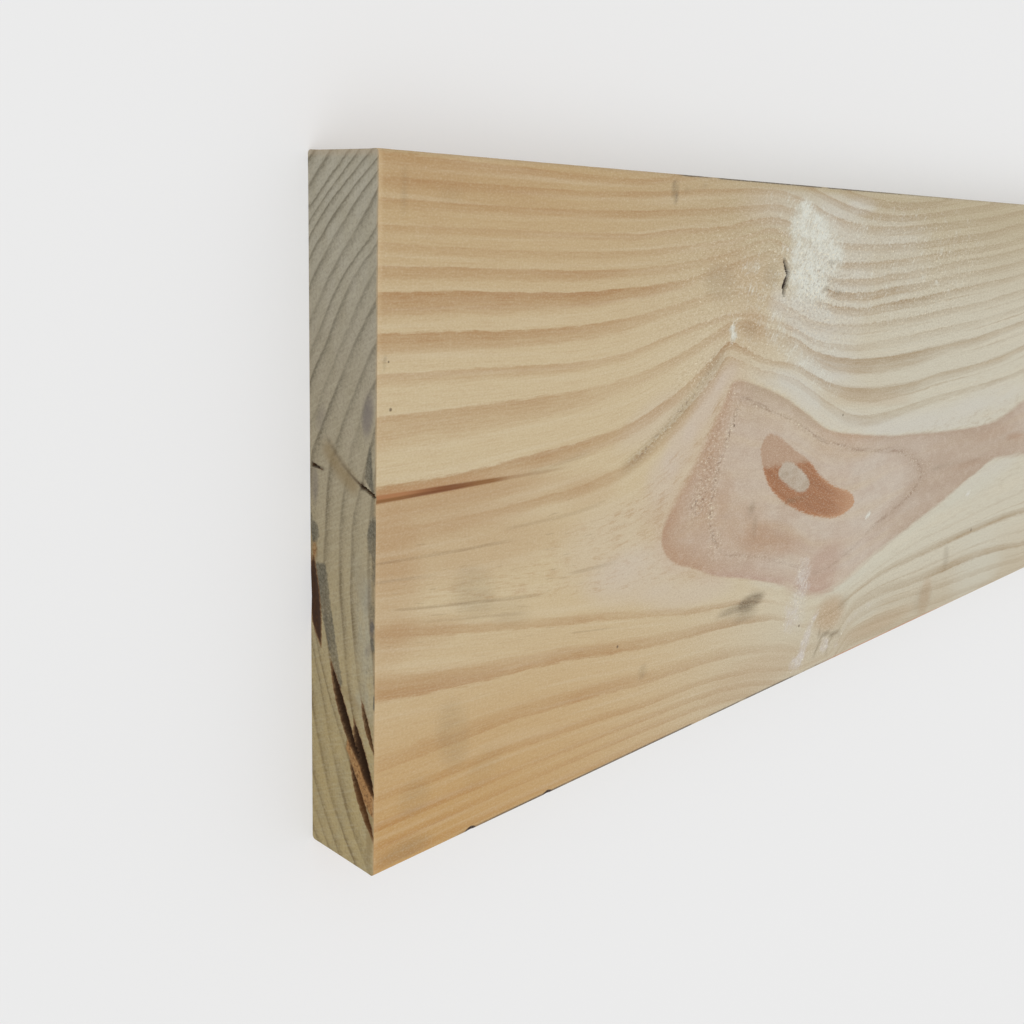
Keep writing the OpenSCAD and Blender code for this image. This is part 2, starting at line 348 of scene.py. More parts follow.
def opening_depth(y, z):
    """Depth of the sawn end's openings, and their painted shade: inside the lens between two arcs, the floor is an arc
    scooped along it; the painted shade reaches a little past the lip, so that the walls are dark all the way up."""
    depth = np.zeros(y.shape)
    shade = np.zeros(y.shape)
    for cy, cz, length, gape, deep, lean, bow in OPENINGS:
        a = math.radians(lean)
        s = (y - cy) * math.cos(a) + (z - cz) * math.sin(a)
        t = -(y - cy) * math.sin(a) + (z - cz) * math.cos(a)
        low, high = gape * (0.5 + bow), gape * (0.5 - bow)
        r1, r2 = arc_radius(length, low), arc_radius(length, high)
        gap = np.minimum(r1 - np.hypot(s - (r1 - low), t), r2 - np.hypot(s - (high - r2), t))
        r = arc_radius(length * SCOOP, deep)
        floor = np.sqrt(np.maximum(r * r - t * t, 0)) - (r - deep)
        depth = np.maximum(depth, smooth(gap, 0.0, 0.42 * gape) * np.maximum(floor, 0))
        wall = smooth(gap, -1.3, 0.9) if gape > CHECK_GAPE else 0.7 * smooth(gap, -0.25, 0.3)
        shade = np.maximum(shade, wall)
    return depth, shade


# The heart, the knot and the marks of the knot face: outlines and paths, along and across
HEART = [
    (197, 157.3), (216, 153.4), (235, 147.8), (257, 138.2), (278, 128.4), (297, 123.8), (324, 120), (351, 116.8),
    (378, 115), (405, 113), (432, 111.6), (460, 110.8), (486, 111.6), (508, 115.7), (524, 119.7), (560, 124),
    (640, 124), (760, 121), (900, 116), (1040, 109), (900, 103), (760, 96), (640, 88), (560, 84), (520, 86),
    (490, 87), (470, 82),
    (450, 77.5), (425, 70.5), (400, 65), (370, 58), (345, 52), (320, 45), (300, 41.5), (285, 41.5), (263, 49.5),
    (254, 53.4), (235, 59.2), (216, 64.4), (195, 69.8), (176, 77), (162, 82), (154, 89), (152, 97), (157, 106),
    (168, 118.5), (178, 132), (189, 147),
]
CORE = [
    (203, 149), (220, 144), (240, 138), (260, 129.5), (280, 121.5), (320, 112.5), (355, 108.5), (365, 106),
    (382, 100), (391, 91), (385, 83), (370, 76.5), (345, 70), (320, 60), (296, 54), (282, 54), (268, 60),
    (257, 63), (243, 68), (232, 71.5), (215, 75.5), (200, 79), (190, 88), (186, 100), (188, 118), (197, 138),
]
KNOT = [
    (222, 125), (226, 130), (230, 130.5), (238, 128), (251, 121), (265, 114.3), (278, 105), (292, 98),
    (308, 92.7), (315, 88.6), (316, 85.4), (312, 82.4), (303, 80.5), (292, 81), (276, 84.6), (260, 90),
    (243, 98), (232, 106), (226, 114), (223, 120),
]
EYE = [
    (239, 112), (243, 115.5), (250, 115), (255, 112.5), (262, 108.5), (267, 104.5), (269, 101), (266, 99),
    (260, 99), (252, 102), (245, 106), (240, 109),
]
# The check beside the knot
FACE_CHECK = [(227.6, 208), (229, 205.5), (231.6, 202.3), (231, 199.5), (229.4, 196.5), (229.6, 193)]
# Torn grain, grit and dirt. Soft ovals: middle, two half sizes, turn and amount; paths: points, half width, amount
TORN = [
    (251, 211, 33, 25, -22, 0.5), (238, 224, 10, 13, 0, 0.36), (255, 221, 11, 10, 0, 0.38),
    (271, 210, 13, 8, -10, 0.36),
    (247, 199, 22, 15, -10, 0.34), (241, 231, 9, 4, 5, 0.36), (292, 224, 18, 9, 0, 0.16),
    (262, 190, 16, 8, -30, 0.25),
    (330, 205, 150, 44, 2, 0.1), (210, 190, 40, 30, 0, 0.08), (250, 163, 52, 9, -26, 0.28), (203, 205, 9, 4, 5, 0.25),
    (333, 76, 4.5, 1.8, 25, 1.0), (460, 70, 4.5, 1.5, 20, 1.0), (272, 52, 9, 15, 12, 0.6),
    (264, 35, 11, 13, 15, 0.48),
    (280, 17, 6, 13, -22, 0.7), (274, 8, 9, 5, 0, 0.75), (301, 11, 6, 6, 20, 0.8), (287, 29, 7, 3.5, 30, 0.45),
    (450, 140, 120, 20, 6, 0.05), (225, 229, 34, 14, 0, 0.08), (230, 180, 18, 9, -12, 0.1),
    (275, 168, 26, 5, -8, 0.2),
]
TORN_PATHS = [
    ([(190, 182), (192, 178), (194.5, 174)], 3.4, 1.0),
    ([(272, 5), (277, 11), (280, 18), (284, 25), (291, 32)], 3.4, 0.6),
    ([(310, 5), (317, 12), (325, 19), (336, 23), (352, 22)], 3.0, 0.3),
]
SPECK = [
    (215, 195, 100, 50, 0, 0.45), (330, 200, 130, 50, 2, 0.42), (192, 85, 9, 10, -40, 0.5), (270, 44, 9, 20, 10, 0.6),
    (198, 146, 14, 8, -60, 0.5), (181, 120, 12, 26, -18, 0.7), (176, 104, 12, 9, 0, 0.5), (300, 20, 30, 18, 0, 0.4),
    (390, 95, 16, 14, 0, 0.3), (172, 158, 20, 9, 40, 0.5), (450, 190, 120, 60, 4, 0.25), (430, 30, 120, 26, 0, 0.18),
]
SPECK_PATHS = [
    ([(204, 150), (197, 138), (189, 118), (186, 100), (190, 88), (199, 79)], 5.0, 0.9),
    ([(193, 146), (183, 130), (177, 119), (173, 108), (174, 98)], 7.0, 0.65),
    ([(199, 79), (215, 75.5), (232, 71.5), (243, 68), (257, 63)], 2.4, 0.6),
    ([(262, 62), (271, 60), (277, 50), (274, 36)], 3.0, 0.75),
    ([(203, 149), (220, 144), (240, 138), (260, 129.5), (280, 121.5), (320, 112.5)], 2.2, 0.65),
    ([(355, 108.5), (365, 106), (382, 100), (391, 91), (385, 83), (370, 76.5)], 3.0, 0.7),
    ([(388, 97), (402, 94)], 5.0, 0.5), ([(126, 128), (149, 141), (165, 152), (181, 167)], 5.0, 0.8),
    ([(150, 155), (172, 170), (188, 180)], 6.0, 0.45),
]
DIRT = [
    (145, 234, 1.7, 6.5, 6, 0.9), (10, 228, 2, 9, 0, 0.22), (29, 228, 7, 3, 0, 0.12), (226, 51, 14, 5.2, 4, 0.85),
    (211, 50, 16, 3.4, 0, 0.55), (222, 45, 13, 4, 0, 0.35), (440, 33, 5, 11, 15, 0.28), (415, 11, 16, 12, 0, 0.2),
    (44, 94, 15, 12, -40, 0.24), (62, 82, 16, 7, -20, 0.16), (36, 42, 10, 18, 15, 0.22), (52, 24, 14, 9, 25, 0.1),
    (18, 24, 10, 10, -20, 0.18), (219, 97, 4, 4.5, -30, 0.38), (223, 88, 3, 8, 5, 0.22), (145, 37, 4, 4, 20, 0.4),
    (14, 5, 16, 5, 0, 0.3), (3, 177, 1.2, 2.2, 0, 0.4), (180, 199, 15, 10, -10, 0.2), (317, 31, 8, 5, 20, 0.22),
    (218, 201, 9, 8, 0, 0.18), (268, 207, 4, 2, 0, 0.45), (266, 195, 4, 1.8, 0, 0.5), (277, 193, 6, 1.8, 0, 0.45),
    (180, 164, 14, 6, 42, 0.22), (169, 154, 8, 5, 42, 0.26), (205, 179, 8, 5, -10, 0.16),
]
DIRT_PATHS = [
    ([(295, 18), (303, 17), (308, 15), (318, 14)], 1.8, 1.0), ([(290, 6), (296, 14), (293, 22)], 1.7, 0.7),
    ([(309, 15), (305, 9), (303, 4)], 1.3, 0.5),
    ([(150, 234.5), (164, 236), (172, 235)], 0.9, 0.4),
    ([(120, 126), (134, 132), (150, 141), (167, 153), (190, 171)], 5.0, 0.36),
    ([(246, 95.6), (262, 95.2), (279, 94.3)], 1.2, 0.45), ([(240, 109.7), (250, 109.5), (262, 108.3)], 0.8, 0.3),
    ([(402, 91.6), (420, 91), (438, 90.7), (462, 90.4), (480, 90.8)], 1.3, 0.5),
    ([(500, 99), (516, 98.6), (536, 99)], 1.2, 0.5), ([(68, 133), (84, 134), (104, 137)], 2.0, 0.16),
]
# Ovals of warm brown, of the pink of the heart and of pale wood
TAN = [
    (36, 125, 84, 10, 1, 0.6), (35, 130, 60, 5, 1, 0.5), (303, 28, 20, 13, -5, 0.85), (207, 181, 14, 8, -15, 0.4),
    (120, 37, 34, 4, -4, 0.3), (320, 140, 60, 6, -6, 0.4), (195, 203, 34, 12, -8, 0.4), (203, 178, 30, 14, -10, 0.3),
    (40, 233, 50, 8, 0, 0.25),
    (236, 178, 11, 3, -3, 0.35), (455, 89, 30, 3, 1, 0.45), (522, 98, 22, 3.0, -4, 0.9), (360, 9, 54, 7, 0, 0.5),
    (417, 13, 10, 15, -8, 0.55), (1, 102, 24, 38, 0, 0.55), (255, 91, 18, 10, 0, 0.4), (236, 12, 56, 14, 0, 0.4),
    (18, 231, 26, 6, 0, 0.3), (66, 226, 34, 4, -2, 0.22),
    (40, 111, 70, 16, -2, 0.5), (145, 100, 12, 12, 0, 0.22), (4, 4, 30, 10, 0, 0.3), (184, 122, 6, 10, -20, 0.25),
    (490, 104, 40, 5, 2, 0.35), (8, 68, 60, 6, -8, 0.45), (10, 87, 40, 5, -6, 0.3), (20, 181, 70, 5, 0, 0.2),
    (104, 122, 22, 9, 4, 0.4), (20, 84, 24, 10, -4, 0.3), (84, 138, 34, 4, 5, 0.35), (238, 79, 32, 11, -12, 0.22),
    (212, 72, 22, 7, -14, 0.2),
]
BLUSH = [
    (160, 92, 20, 17, 0, 0.25), (214, 88, 34, 16, -14, 0.45), (238, 79, 34, 12, -12, 0.52),
    (288, 54, 30, 15, 20, 0.5), (280, 64, 26, 12, -10, 0.25),
    (184, 118, 10, 28, -15, 0.3), (186, 100, 16, 13, 0, 0.3), (196, 108, 10, 12, 0, 0.35), (528, 94, 24, 6, -4, 0.3),
    (400, 92, 40, 16, 0, 0.3),
    (212, 143, 20, 10, -20, 0.22), (300, 114, 40, 6, -14, 0.22), (470, 100, 90, 26, 0, 0.45),
    (400, 73, 50, 10, 14, 0.35),
    (365, 76, 30, 7, 25, 0.3), (386, 87, 26, 15, 0, 0.3), (435, 84, 60, 9, 4, 0.35), (255, 74, 26, 7, -14, 0.35),
]
PALE = [
    (176, 148, 22, 9, 45, 0.75), (160, 132, 16, 12, 45, 0.6), (190, 160, 12, 6, 30, 0.6), (300, 132, 30, 5, -12, 0.3),
    (400, 123, 110, 8, 1, 0.6), (470, 128, 60, 10, 4, 0.5), (478, 75, 66, 10, 9, 0.75), (505, 124, 34, 8, 14, 0.5),
    (250, 150, 30, 6, -24, 0.7),
    (325, 46, 36, 5, 14, 0.25), (370, 55, 40, 4, 10, 0.15), (240, 57, 24, 3, -14, 0.3), (150, 120, 14, 14, 0, 0.5),
    (345, 19, 22, 6, 8, 0.35), (292, 233, 18, 5, 0, 0.7), (240, 230, 60, 14, 0, 0.5), (320, 222, 60, 14, 0, 0.3),
    (250, 182, 34, 12, -12, 0.75), (290, 158, 40, 8, -6, 0.35),
    (140, 82, 44, 16, 0, 0.55), (270, 40, 10, 20, 10, 0.4), (120, 98, 40, 24, 0, 0.3), (225, 190, 10, 9, 0, 0.6),
    (140, 146, 30, 10, 22, 0.35), (175, 66, 44, 9, -6, 0.5), (270, 190, 46, 60, 0, 0.75), (330, 205, 50, 28, 0, 0.35),
    (490, 14, 50, 24, 0, 0.7), (485, 40, 44, 12, 0, 0.4), (280, 153, 50, 8, -14, 0.4),
]


def traced(u, v, rows):
    """Soft lines: each row is an open path, a half width and an amount; the strongest line counts."""
    out = np.zeros(u.shape)
    for points, half, amount in rows:
        d, t = to_path(u, v, points)
        out = np.maximum(out, amount * smooth(-d, -half, 0.0) * smooth(np.minimum(t, 1 - t), -0.02, 0.12))
    return out


DISTANCES = ("rim", "core", "knot", "eye")
MARKS = DISTANCES + ("torn", "speck", "dirt", "tan", "blush", "pale", "gape")


def face_marks(u, v):
    """All the fields that mark the knot face, each over the same grid of the face.

    The rim is the distance into the heart over the softness of its edge; the blush fades inwards from that edge."""
    U, V = np.meshgrid(u, v, indexing="ij")
    m = {name: np.full(U.shape, -HELD if name in DISTANCES else 0.0) for name in MARKS}
    near = u < MARKED
    a, b = U[near], V[near]
    heart = inside(a, b, rounded(HEART, 4))
    left = smooth(-a, -212, -170)
    foot = smooth(-b, -84, -60) * smooth(-a, -345, -300) * smooth(a, 240, 262)
    steep = left * smooth(b, 96, 112)
    tail = smooth(a, 470, 520)
    right_foot = smooth(-b, -84, -60) * smooth(a, 300, 330)
    soft = 0.9 + 2.6 * steep + 2.6 * foot + 1.8 * tail + 3.0 * smooth(a, 600, 900) + 1.4 * right_foot
    m["rim"][near] = np.clip(heart / soft, -HELD, HELD)
    for name, outline in (("core", rounded(CORE, 4)), ("knot", rounded(KNOT)), ("eye", rounded(EYE))):
        m[name][near] = np.clip(inside(a, b, outline), -HELD, HELD)
    for name, ovals, paths in (("torn", TORN, TORN_PATHS), ("speck", SPECK, SPECK_PATHS), ("dirt", DIRT, DIRT_PATHS),
                               ("tan", TAN, ())):
        m[name][near] = np.clip(np.maximum(blots(a, b, ovals), traced(a, b, paths)), 0, 1)
    fade = np.exp(-np.maximum(heart, 0) / (3.2 + 5.0 * left))
    calm = 1 - 0.7 * smooth(-b, -70, -52) * smooth(a, 296, 312) * smooth(-a, -372, -340)
    outer = smooth(-m["core"][near], -3, 5)
    m["blush"][near] = np.clip((0.85 * fade + 0.18 * outer) * calm + blots(a, b, BLUSH), 0, 1)
    bright = smooth(a, 190, 235) * smooth(-heart, 0.0, 1.5) * smooth(heart, -15, -3) * smooth(-a, -520, -420)
    below = smooth(a, 285, 310) * smooth(-a, -480, -400) * smooth(-heart, 0.0, 2.4) * smooth(heart, -12.0, -5.0)
    below = below * smooth(-b, -92, -76)
    m["pale"][near] = np.clip(0.7 * bright * smooth(b, 60, 100) + 0.5 * below + blots(a, b, PALE), 0, 1)
    # The check's gape: sunk into the face, and black in the material as painted shade in its crack
    d, t = to_path(a, b, FACE_CHECK)
    half = 0.45 + 0.35 * np.exp(-((t - 0.3) / 0.2) ** 2) + 1.15 * np.exp(-((t - 0.7) / 0.17) ** 2)
    m["gape"][near] = smooth(half - d, -0.55, 0.25)
    return m


# Stations of the skin

def stations(*runs):
    """Joined even runs, each given as a start, an end and a step; doubles are dropped."""
    parts = [np.linspace(a, b, max(int(round((b - a) / s)), 1) + 1) for a, b, s in runs]
    return np.unique(np.round(np.concatenate(parts), 4))


ALONG = stations((0, 6, 1.0), (6, 40, 2.0), (40, 52, 1.0), (52, 82, 2.0), (82, 94, 1.0), (94, 222, 2.0),
                 (222, 236, 0.75), (236, 544, 2.0), (544, 700, 12.0), (700, LENGTH - 20, 28.0),
                 (LENGTH - 20, LENGTH, 5.0))
ACROSS = stations((ARRIS, 3, 0.5), (3, 132, 2.0), (132, 137, 0.6), (137, 190, 2.0), (190, 210, 0.9),
                  (210, WIDTH - ARRIS, 2.0))
UP_SIDE = stations((ARRIS, THICK - ARRIS, 3.2))[1:-1]
UNDER = stations((ARRIS, WIDTH - ARRIS, 9.0))
TURN = np.radians([0.0, 22.5, 45.0, 67.5, 90.0])
# The four long sides, in order round the section
TOP, UPPER, BELOW, LOWER = range(4)


def section():
    """Points round the section: knot face, upper arris and edge, underside, lower edge and arrises, in order."""
    def corner(cy, cz, first):
        a = first - TURN
        return cy + ARRIS * np.cos(a), cz + ARRIS * np.sin(a)
    hi_y, hi_z = WIDTH - ARRIS, THICK - ARRIS
    parts = [(ACROSS[1:-1], np.full(len(ACROSS) - 2, THICK), TOP), (*corner(hi_y, hi_z, np.pi / 2), UPPER),
             (np.full(len(UP_SIDE), WIDTH), UP_SIDE[::-1], UPPER), (*corner(hi_y, ARRIS, 0.0), UPPER),
             (UNDER[1:-1][::-1], np.zeros(len(UNDER) - 2), BELOW), (*corner(ARRIS, ARRIS, -np.pi / 2), LOWER),
             (np.zeros(len(UP_SIDE)), UP_SIDE, LOWER), (*corner(ARRIS, hi_z, np.pi), LOWER)]
    y = np.concatenate([p[0] for p in parts])
    z = np.concatenate([p[1] for p in parts])
    side = np.concatenate([np.full(len(p[0]), p[2]) for p in parts])
    return y, z, side


# Joining the skin

def net(rows, cols, closed=False):
    """Four-cornered faces of a grid of rows by columns, row by row; closed joins the last column to the first."""
    i = np.arange(rows - 1)[:, None]
    j = np.arange(cols if closed else cols - 1)[None, :]
    k = (j + 1) % cols
    return np.stack([i * cols + j, (i + 1) * cols + j, (i + 1) * cols + k, i * cols + k], -1).reshape(-1, 4)


def zipper(a, ta, b, tb):
    """Triangles between two closed loops: both run once round from 0 to 1, and each step of either, taken in order
    of its parameter, closes one triangle with the loop that waits."""
    n, m = len(a), len(b)
    step = np.concatenate([np.append(ta[1:], 1.0), np.append(tb[1:], 1.0)])
    kind = np.concatenate([np.zeros(n, int), np.ones(m, int)])
    order = np.lexsort((kind, step))
    kind = kind[order]
    i = np.cumsum(kind == 0) - (kind == 0)
    j = np.cumsum(kind == 1) - (kind == 1)
    first = a[i % n]
    second = np.where(kind == 0, a[(i + 1) % n], b[(j + 1) % m])
    third = b[j % m]
    return np.stack([first, second, third], 1)


def round_share(y, z):
    """Share of the way round the end, a quarter for each side, measured against the inset rectangle of its grid."""
    y0, y1, z0, z1 = CAP_INSET, WIDTH - CAP_INSET, CAP_INSET, THICK - CAP_INSET
    fy, fz = np.clip((y - y0) / (y1 - y0), 0, 1), np.clip((z - z0) / (z1 - z0), 0, 1)
    gaps = np.stack([np.abs(z - THICK), np.abs(y - WIDTH), np.abs(z), np.abs(y)])
    side = np.argmin(gaps, 0)
    return np.choose(side, [fy, 1 + (1 - fz), 2 + (1 - fy), 3 + fz]) / 4


# The skin's own relief

# Nicks in the lower front edge: places along the plank, length and bite
NICKS = [46.0, 88.0]
NICK_LENGTH, NICK_BITE = 5.0, 0.7
# Relief of the knot face, in millimetres
LATE_RISE, TORN_ROUGH, TORN_RISE, SPECK_DIP, KNOT_RISE, EYE_DIP, CHECK_DEPTH = 0.07, 0.2, 0.05, 0.14, 0.06, 0.07, 3.6
# Hollows of the edges and the underside, and how far the openings of the sawn end bend the long sides
SIDE_SINK, SIDE_WAVE, UNDER_SINK, OPENING_REACH = 0.08, 0.16, 0.05, 26.0
# Ring spacing down the two edges, and the ring numbers across the underside
EDGE_GAP = {UPPER: 6.8, LOWER: 7.3}
UNDER_PLACES = [0, 30, 57, 80, 118, 154, 176, 206, 229, 240]
UNDER_RINGS = [10.6, 8, 7, 5.5, 4.3, 5.5, 8, 11, 15, 16.4]
# Late wood's share of a ring on the edges and on the underside, and its darkness there
EDGE_SHARE, UNDER_SHARE, UNDER_LATE = 0.45, 0.42, 0.55


def nicked(u, y, z):
    """Bites in the lower arris: a point inside a bite's ball is carried straight out to its surface."""
    r = arc_radius(NICK_LENGTH, NICK_BITE)
    for place in NICKS:
        du, dy, dz = u - place, y - (NICK_BITE - r), z - THICK
        d = np.sqrt(du * du + dy * dy + dz * dz)
        push = np.where(d < r, r / np.maximum(d, 1e-6), 1.0)
        u, y, z = place + du * push, NICK_BITE - r + dy * push, THICK + dz * push
    return u, y, z


def sawtooth(ring, share):
    """Late wood over one ring: nothing, then a smooth rise over the last share of it, and a sharp fall."""
    f = ring - np.floor(ring)
    return smooth(f, 1 - share, np.ones_like(f))


FIELDS = ("ring", "grain", "late", "share") + MARKS


def long_skin():
    """The tube of the four long sides: the section carried along the plank, with the relief set off inwards."""
    y, z, side = section()
    shape = (len(ALONG), len(y))
    U = np.broadcast_to(ALONG[:, None], shape).copy()
    Y = np.broadcast_to(y[None, :], shape).copy()
    Z = np.broadcast_to(z[None, :], shape).copy()
    ring, grain, late, share = face_rings(ALONG, ACROSS)
    f = {name: np.full(shape, -HELD if name in DISTANCES else 0.0) for name in FIELDS}
    top = side == TOP
    at = np.searchsorted(ACROSS, y[top])
    grids = dict(face_marks(ALONG, ACROSS), ring=ring, grain=grain, late=late, share=share)
    for name, grid in grids.items():
        f[name][:, top] = grid[:, at]
    for edge, column, way in ((UPPER, -1, 1), (LOWER, 0, -1)):
        on = side == edge
        down = (THICK - z[on])[None, :]
        f["ring"][:, on] = ring[:, column][:, None] + down / EDGE_GAP[edge]
        f["grain"][:, on] = grain[:, column][:, None] + way * down
        f["late"][:, on] = np.maximum(late[:, column][:, None], 0.4 + 0.1 * np.sin(ALONG / 130.0)[:, None])
        f["share"][:, on] = EDGE_SHARE
    on = side == BELOW
    base = curve(y[on], UNDER_PLACES, UNDER_RINGS)
    lean = smooth(y[on], 0, WIDTH)[None, :]
    low_shift = ring[:, 0] + THICK / EDGE_GAP[LOWER] - UNDER_RINGS[0]
    high_shift = ring[:, -1] + THICK / EDGE_GAP[UPPER] - UNDER_RINGS[-1]
    shift = low_shift[:, None] * (1 - lean) + high_shift[:, None] * lean
    cup = np.exp(-((y[on] - 118.0) / 34.0) ** 2)[None, :]
    swing = (1.5 * np.sin(ALONG / 310.0 + 0.6) + 0.5 * np.sin(ALONG / 97.0))[:, None]
    f["ring"][:, on] = base[None, :] + shift + cup * swing
    f["grain"][:, on] = 300.0 + y[on][None, :] + 0.6 * wander((len(ALONG), on.sum()), (40, 6), 7)
    f["late"][:, on] = UNDER_LATE
    f["share"][:, on] = UNDER_SHARE
    rough = rng.uniform(-1, 1, shape)
    height = LATE_RISE * f["late"] * sawtooth(f["ring"], f["share"])
    height += smooth(f["torn"], 0.15, 0.9) * (TORN_ROUGH * rough + TORN_RISE)
    height += f["speck"] * SPECK_DIP * np.minimum(rough, 0)
    height += KNOT_RISE * smooth(f["knot"], -4, 2) - EYE_DIP * smooth(f["eye"], -2, 3)
    height -= CHECK_DEPTH * f["gape"]
    Z += np.where(top[None, :], height * smooth(np.minimum(Y, WIDTH - Y), 1.5, 5.0), 0)
    hollow = -np.minimum(SIDE_WAVE * wander(shape, (160, 9), 11), 0)
    flat = smooth(np.minimum(Z, THICK - Z), 0.5, 3.0)
    for edge, way in ((UPPER, -1), (LOWER, 1)):
        Y += np.where((side == edge)[None, :], way * (SIDE_SINK + hollow), 0) * flat
    flat = smooth(np.minimum(Y, WIDTH - Y), 1.5, 6.0)
    Z += np.where((side == BELOW)[None, :], UNDER_SINK + 0.5 * hollow, 0) * flat
    sunk, shade = opening_depth(y, z)
    U += sunk[None, :] * np.clip(1 - U / OPENING_REACH, 0, 1) ** 2
    # Where the back pocket of the sawn end opens into the underside, its painted shade carries on there
    opened = 0.8 * (shade * (side == BELOW))[None, :] * smooth(-ALONG, -2.0, 0.0)[:, None]
    f["gape"] = np.maximum(f["gape"], opened)
    from_edge = np.hypot(y, z - THICK)[None, :] / 1.9
    for place in NICKS:
        bitten = smooth(-np.hypot((ALONG[:, None] - place) / 2.6, from_edge), -1.25, -0.9)
        f["gape"] = np.maximum(f["gape"], bitten)
    U, Y, Z = nicked(U, Y, Z)
    return np.stack([U, Y, Z], -1), f, y, z


END_FIELDS = ("ring", "open", "tan", "grey", "check_shade", "mauve")
# Depth of the ends' grids behind the outline, of the saw marks and of their roughness, in millimetres
END_SINK, SAW_DEPTH, SAW_ROUGH = 0.12, 0.07, 0.05


def end_skin(near):
    """A grid over one end, across and up; closer where the sawn end has its pockets."""
    if near:
        y = stations((CAP_INSET, 72, 0.42), (72, 112, 0.9), (112, 132, 1.7), (132, 142, 0.5),
                     (142, WIDTH - CAP_INSET, 1.7))
        z = stations((CAP_INSET, THICK - CAP_INSET, 0.53))
    else:
        y, z = np.linspace(CAP_INSET, WIDTH - CAP_INSET, 120), np.linspace(CAP_INSET, THICK - CAP_INSET, 18)
    return np.meshgrid(y, z, indexing="ij")


# Marks of the sawn end, across from the lower edge and up from the underside: soft ovals, outlines and paths
END_TAN = [(62, 22, 3, 10, 25, 0.3), (110, 2, 6, 2.5, 0, 0.7), (104, 27, 12, 4, 5, 0.2), (18, 33, 18, 3, 5, 0.4),
           (105, 33.8, 34, 1.6, 0, 0.4), (80, 4.6, 3, 1.6, 0, 0.6)]
END_GREY = [(121, 33.6, 9, 4.2, 5, 1.2), (116.5, 1.0, 5, 4.8, 0, 1.3), (126, 24.5, 6, 2.2, 15, 0.3),
            (147, 5, 6, 3, 20, 0.2),
            (88, 33.6, 14, 2.2, 0, 0.3), (75, 31.6, 4, 2.6, 20, 0.35), (128, 2.5, 8, 2, 0, 0.25),
            (170, 31, 12, 2.5, 12, 0.25),
            (110, 34, 8, 2.0, 0, 0.6), (97, 33.8, 5, 2.2, 0, 0.3), (90.5, 33.2, 2.4, 1.3, 10, 0.8),
            (84.5, 33.4, 3.2, 1.2, -8, 0.8),
            (64.5, 34.6, 4.5, 0.9, 0, 1.2), (72, 34.4, 3, 0.8, 0, 0.6)]
END_MAUVE = [(160, 30.4, 9, 3.6, 8, 1.0), (156, 6, 6, 3, 25, 0.4), (90, 33.2, 5, 1.8, 0, 0.6),
             (82, 31.5, 4, 2.0, 30, 0.5),
             (133, 2.5, 9, 2.5, 0, 0.6), (100, 31, 8, 2, 10, 0.25)]
END_PATCH = [(105.5, 2.6), (106.5, 8), (104, 9), (87, 12.3), (66, 17.6), (63, 16), (66, 13.2), (78, 9.4), (88, 5.6),
             (97, 3.6)]
END_STRIP = [(47, 20.5), (40, 26.5), (34, 31.5), (29, 35.5), (22, 35.5), (25.5, 30), (32, 26), (38, 22.5), (43, 19.5)]
END_WEDGE = [(152, 31.6), (146, 30.0), (140, 28.8), (138, 30), (134.8, 33.6), (142, 33.2), (148, 32.4)]
END_CHECK = [(150, 9), (146.8, 12.5), (142, 18), (139, 23), (136.6, 28), (134.3, 35)]
END_NOTCH = [(139.6, -1), (139.4, 3), (138.8, 7)]
END_SMEAR = [(145.5, 10), (140, 16.5), (136.5, 23)]
# A dark spot on the check, laid in with its painted shade: across, up and radius
END_SPOT = (136.8, 27.8, 2.0)


def end_marks(Y, Z, near):
    """Depth and fields of one end: ring number, openings, tan, grey and mauve wood and the painted shade in the crack
    of the check.

    Each stain is the sum of its soft ovals and of smooth steps of the distance into its outlines."""
    f = {name: np.zeros(Y.shape) for name in END_FIELDS}
    f["ring"] = end_rings(Y, Z)
    if not near:
        return np.zeros(Y.shape), f
    depth, f["open"] = opening_depth(Y, Z)
    f["tan"] = np.clip(blots(Y, Z, END_TAN) + smooth(inside(Y, Z, END_STRIP), -1.2, 0.8), 0, 1)
    patch = smooth(inside(Y, Z, END_PATCH), -0.7, 0.7)
    wedge = smooth(inside(Y, Z, END_WEDGE), -0.6, 0.8)
    f["grey"] = np.clip(blots(Y, Z, END_GREY) + 0.75 * patch + 0.8 * wedge, 0, 1)
    f["mauve"] = np.clip(blots(Y, Z, END_MAUVE), 0, 1)
    smear, _ = to_path(Y, Z, END_SMEAR)
    f["tan"] = np.maximum(f["tan"], 0.45 * smooth(-smear, -6.0, 0.0))
    # Painted shade in the crack of the check and in its notch at the underside, with the dark spot on the check
    check, along = to_path(Y, Z, END_CHECK)
    notch, _ = to_path(Y, Z, END_NOTCH)
    line = smooth(-check, -1.1, 0.0) * (0.45 + 0.4 * smooth(along, 0.45, 0.7))
    across, up, radius = END_SPOT
    spot = smooth(-np.hypot(Y - across, Z - up), -radius, -0.2 * radius)
    f["check_shade"] = np.maximum(np.maximum(line, spot), 0.8 * smooth(-notch, -1.1, 0.0))
    return depth, f


# Attributes of the skin, three fields each
ATTRIBUTES = {
    "growth": ("ring", "grain", "late"), "bands": ("share", "blush", "pale"), "figure": ("rim", "core", "knot"),
    "wear": ("torn", "speck", "dirt"), "holes": ("eye", "gape", "tan"), "ends": ("end_ring", "end_open", "end_tan"),
    "stains": ("end_grey", "end_check_shade", "end_mauve"),
}
# Edges sharper than this many degrees stay crisp
SHARP = 38.0


def placed(name, data):
    """A new object with this mesh, lamp or camera, in the scene."""
    thing = bpy.data.objects.new(name, data)
    bpy.context.scene.collection.objects.link(thing)
    return thing


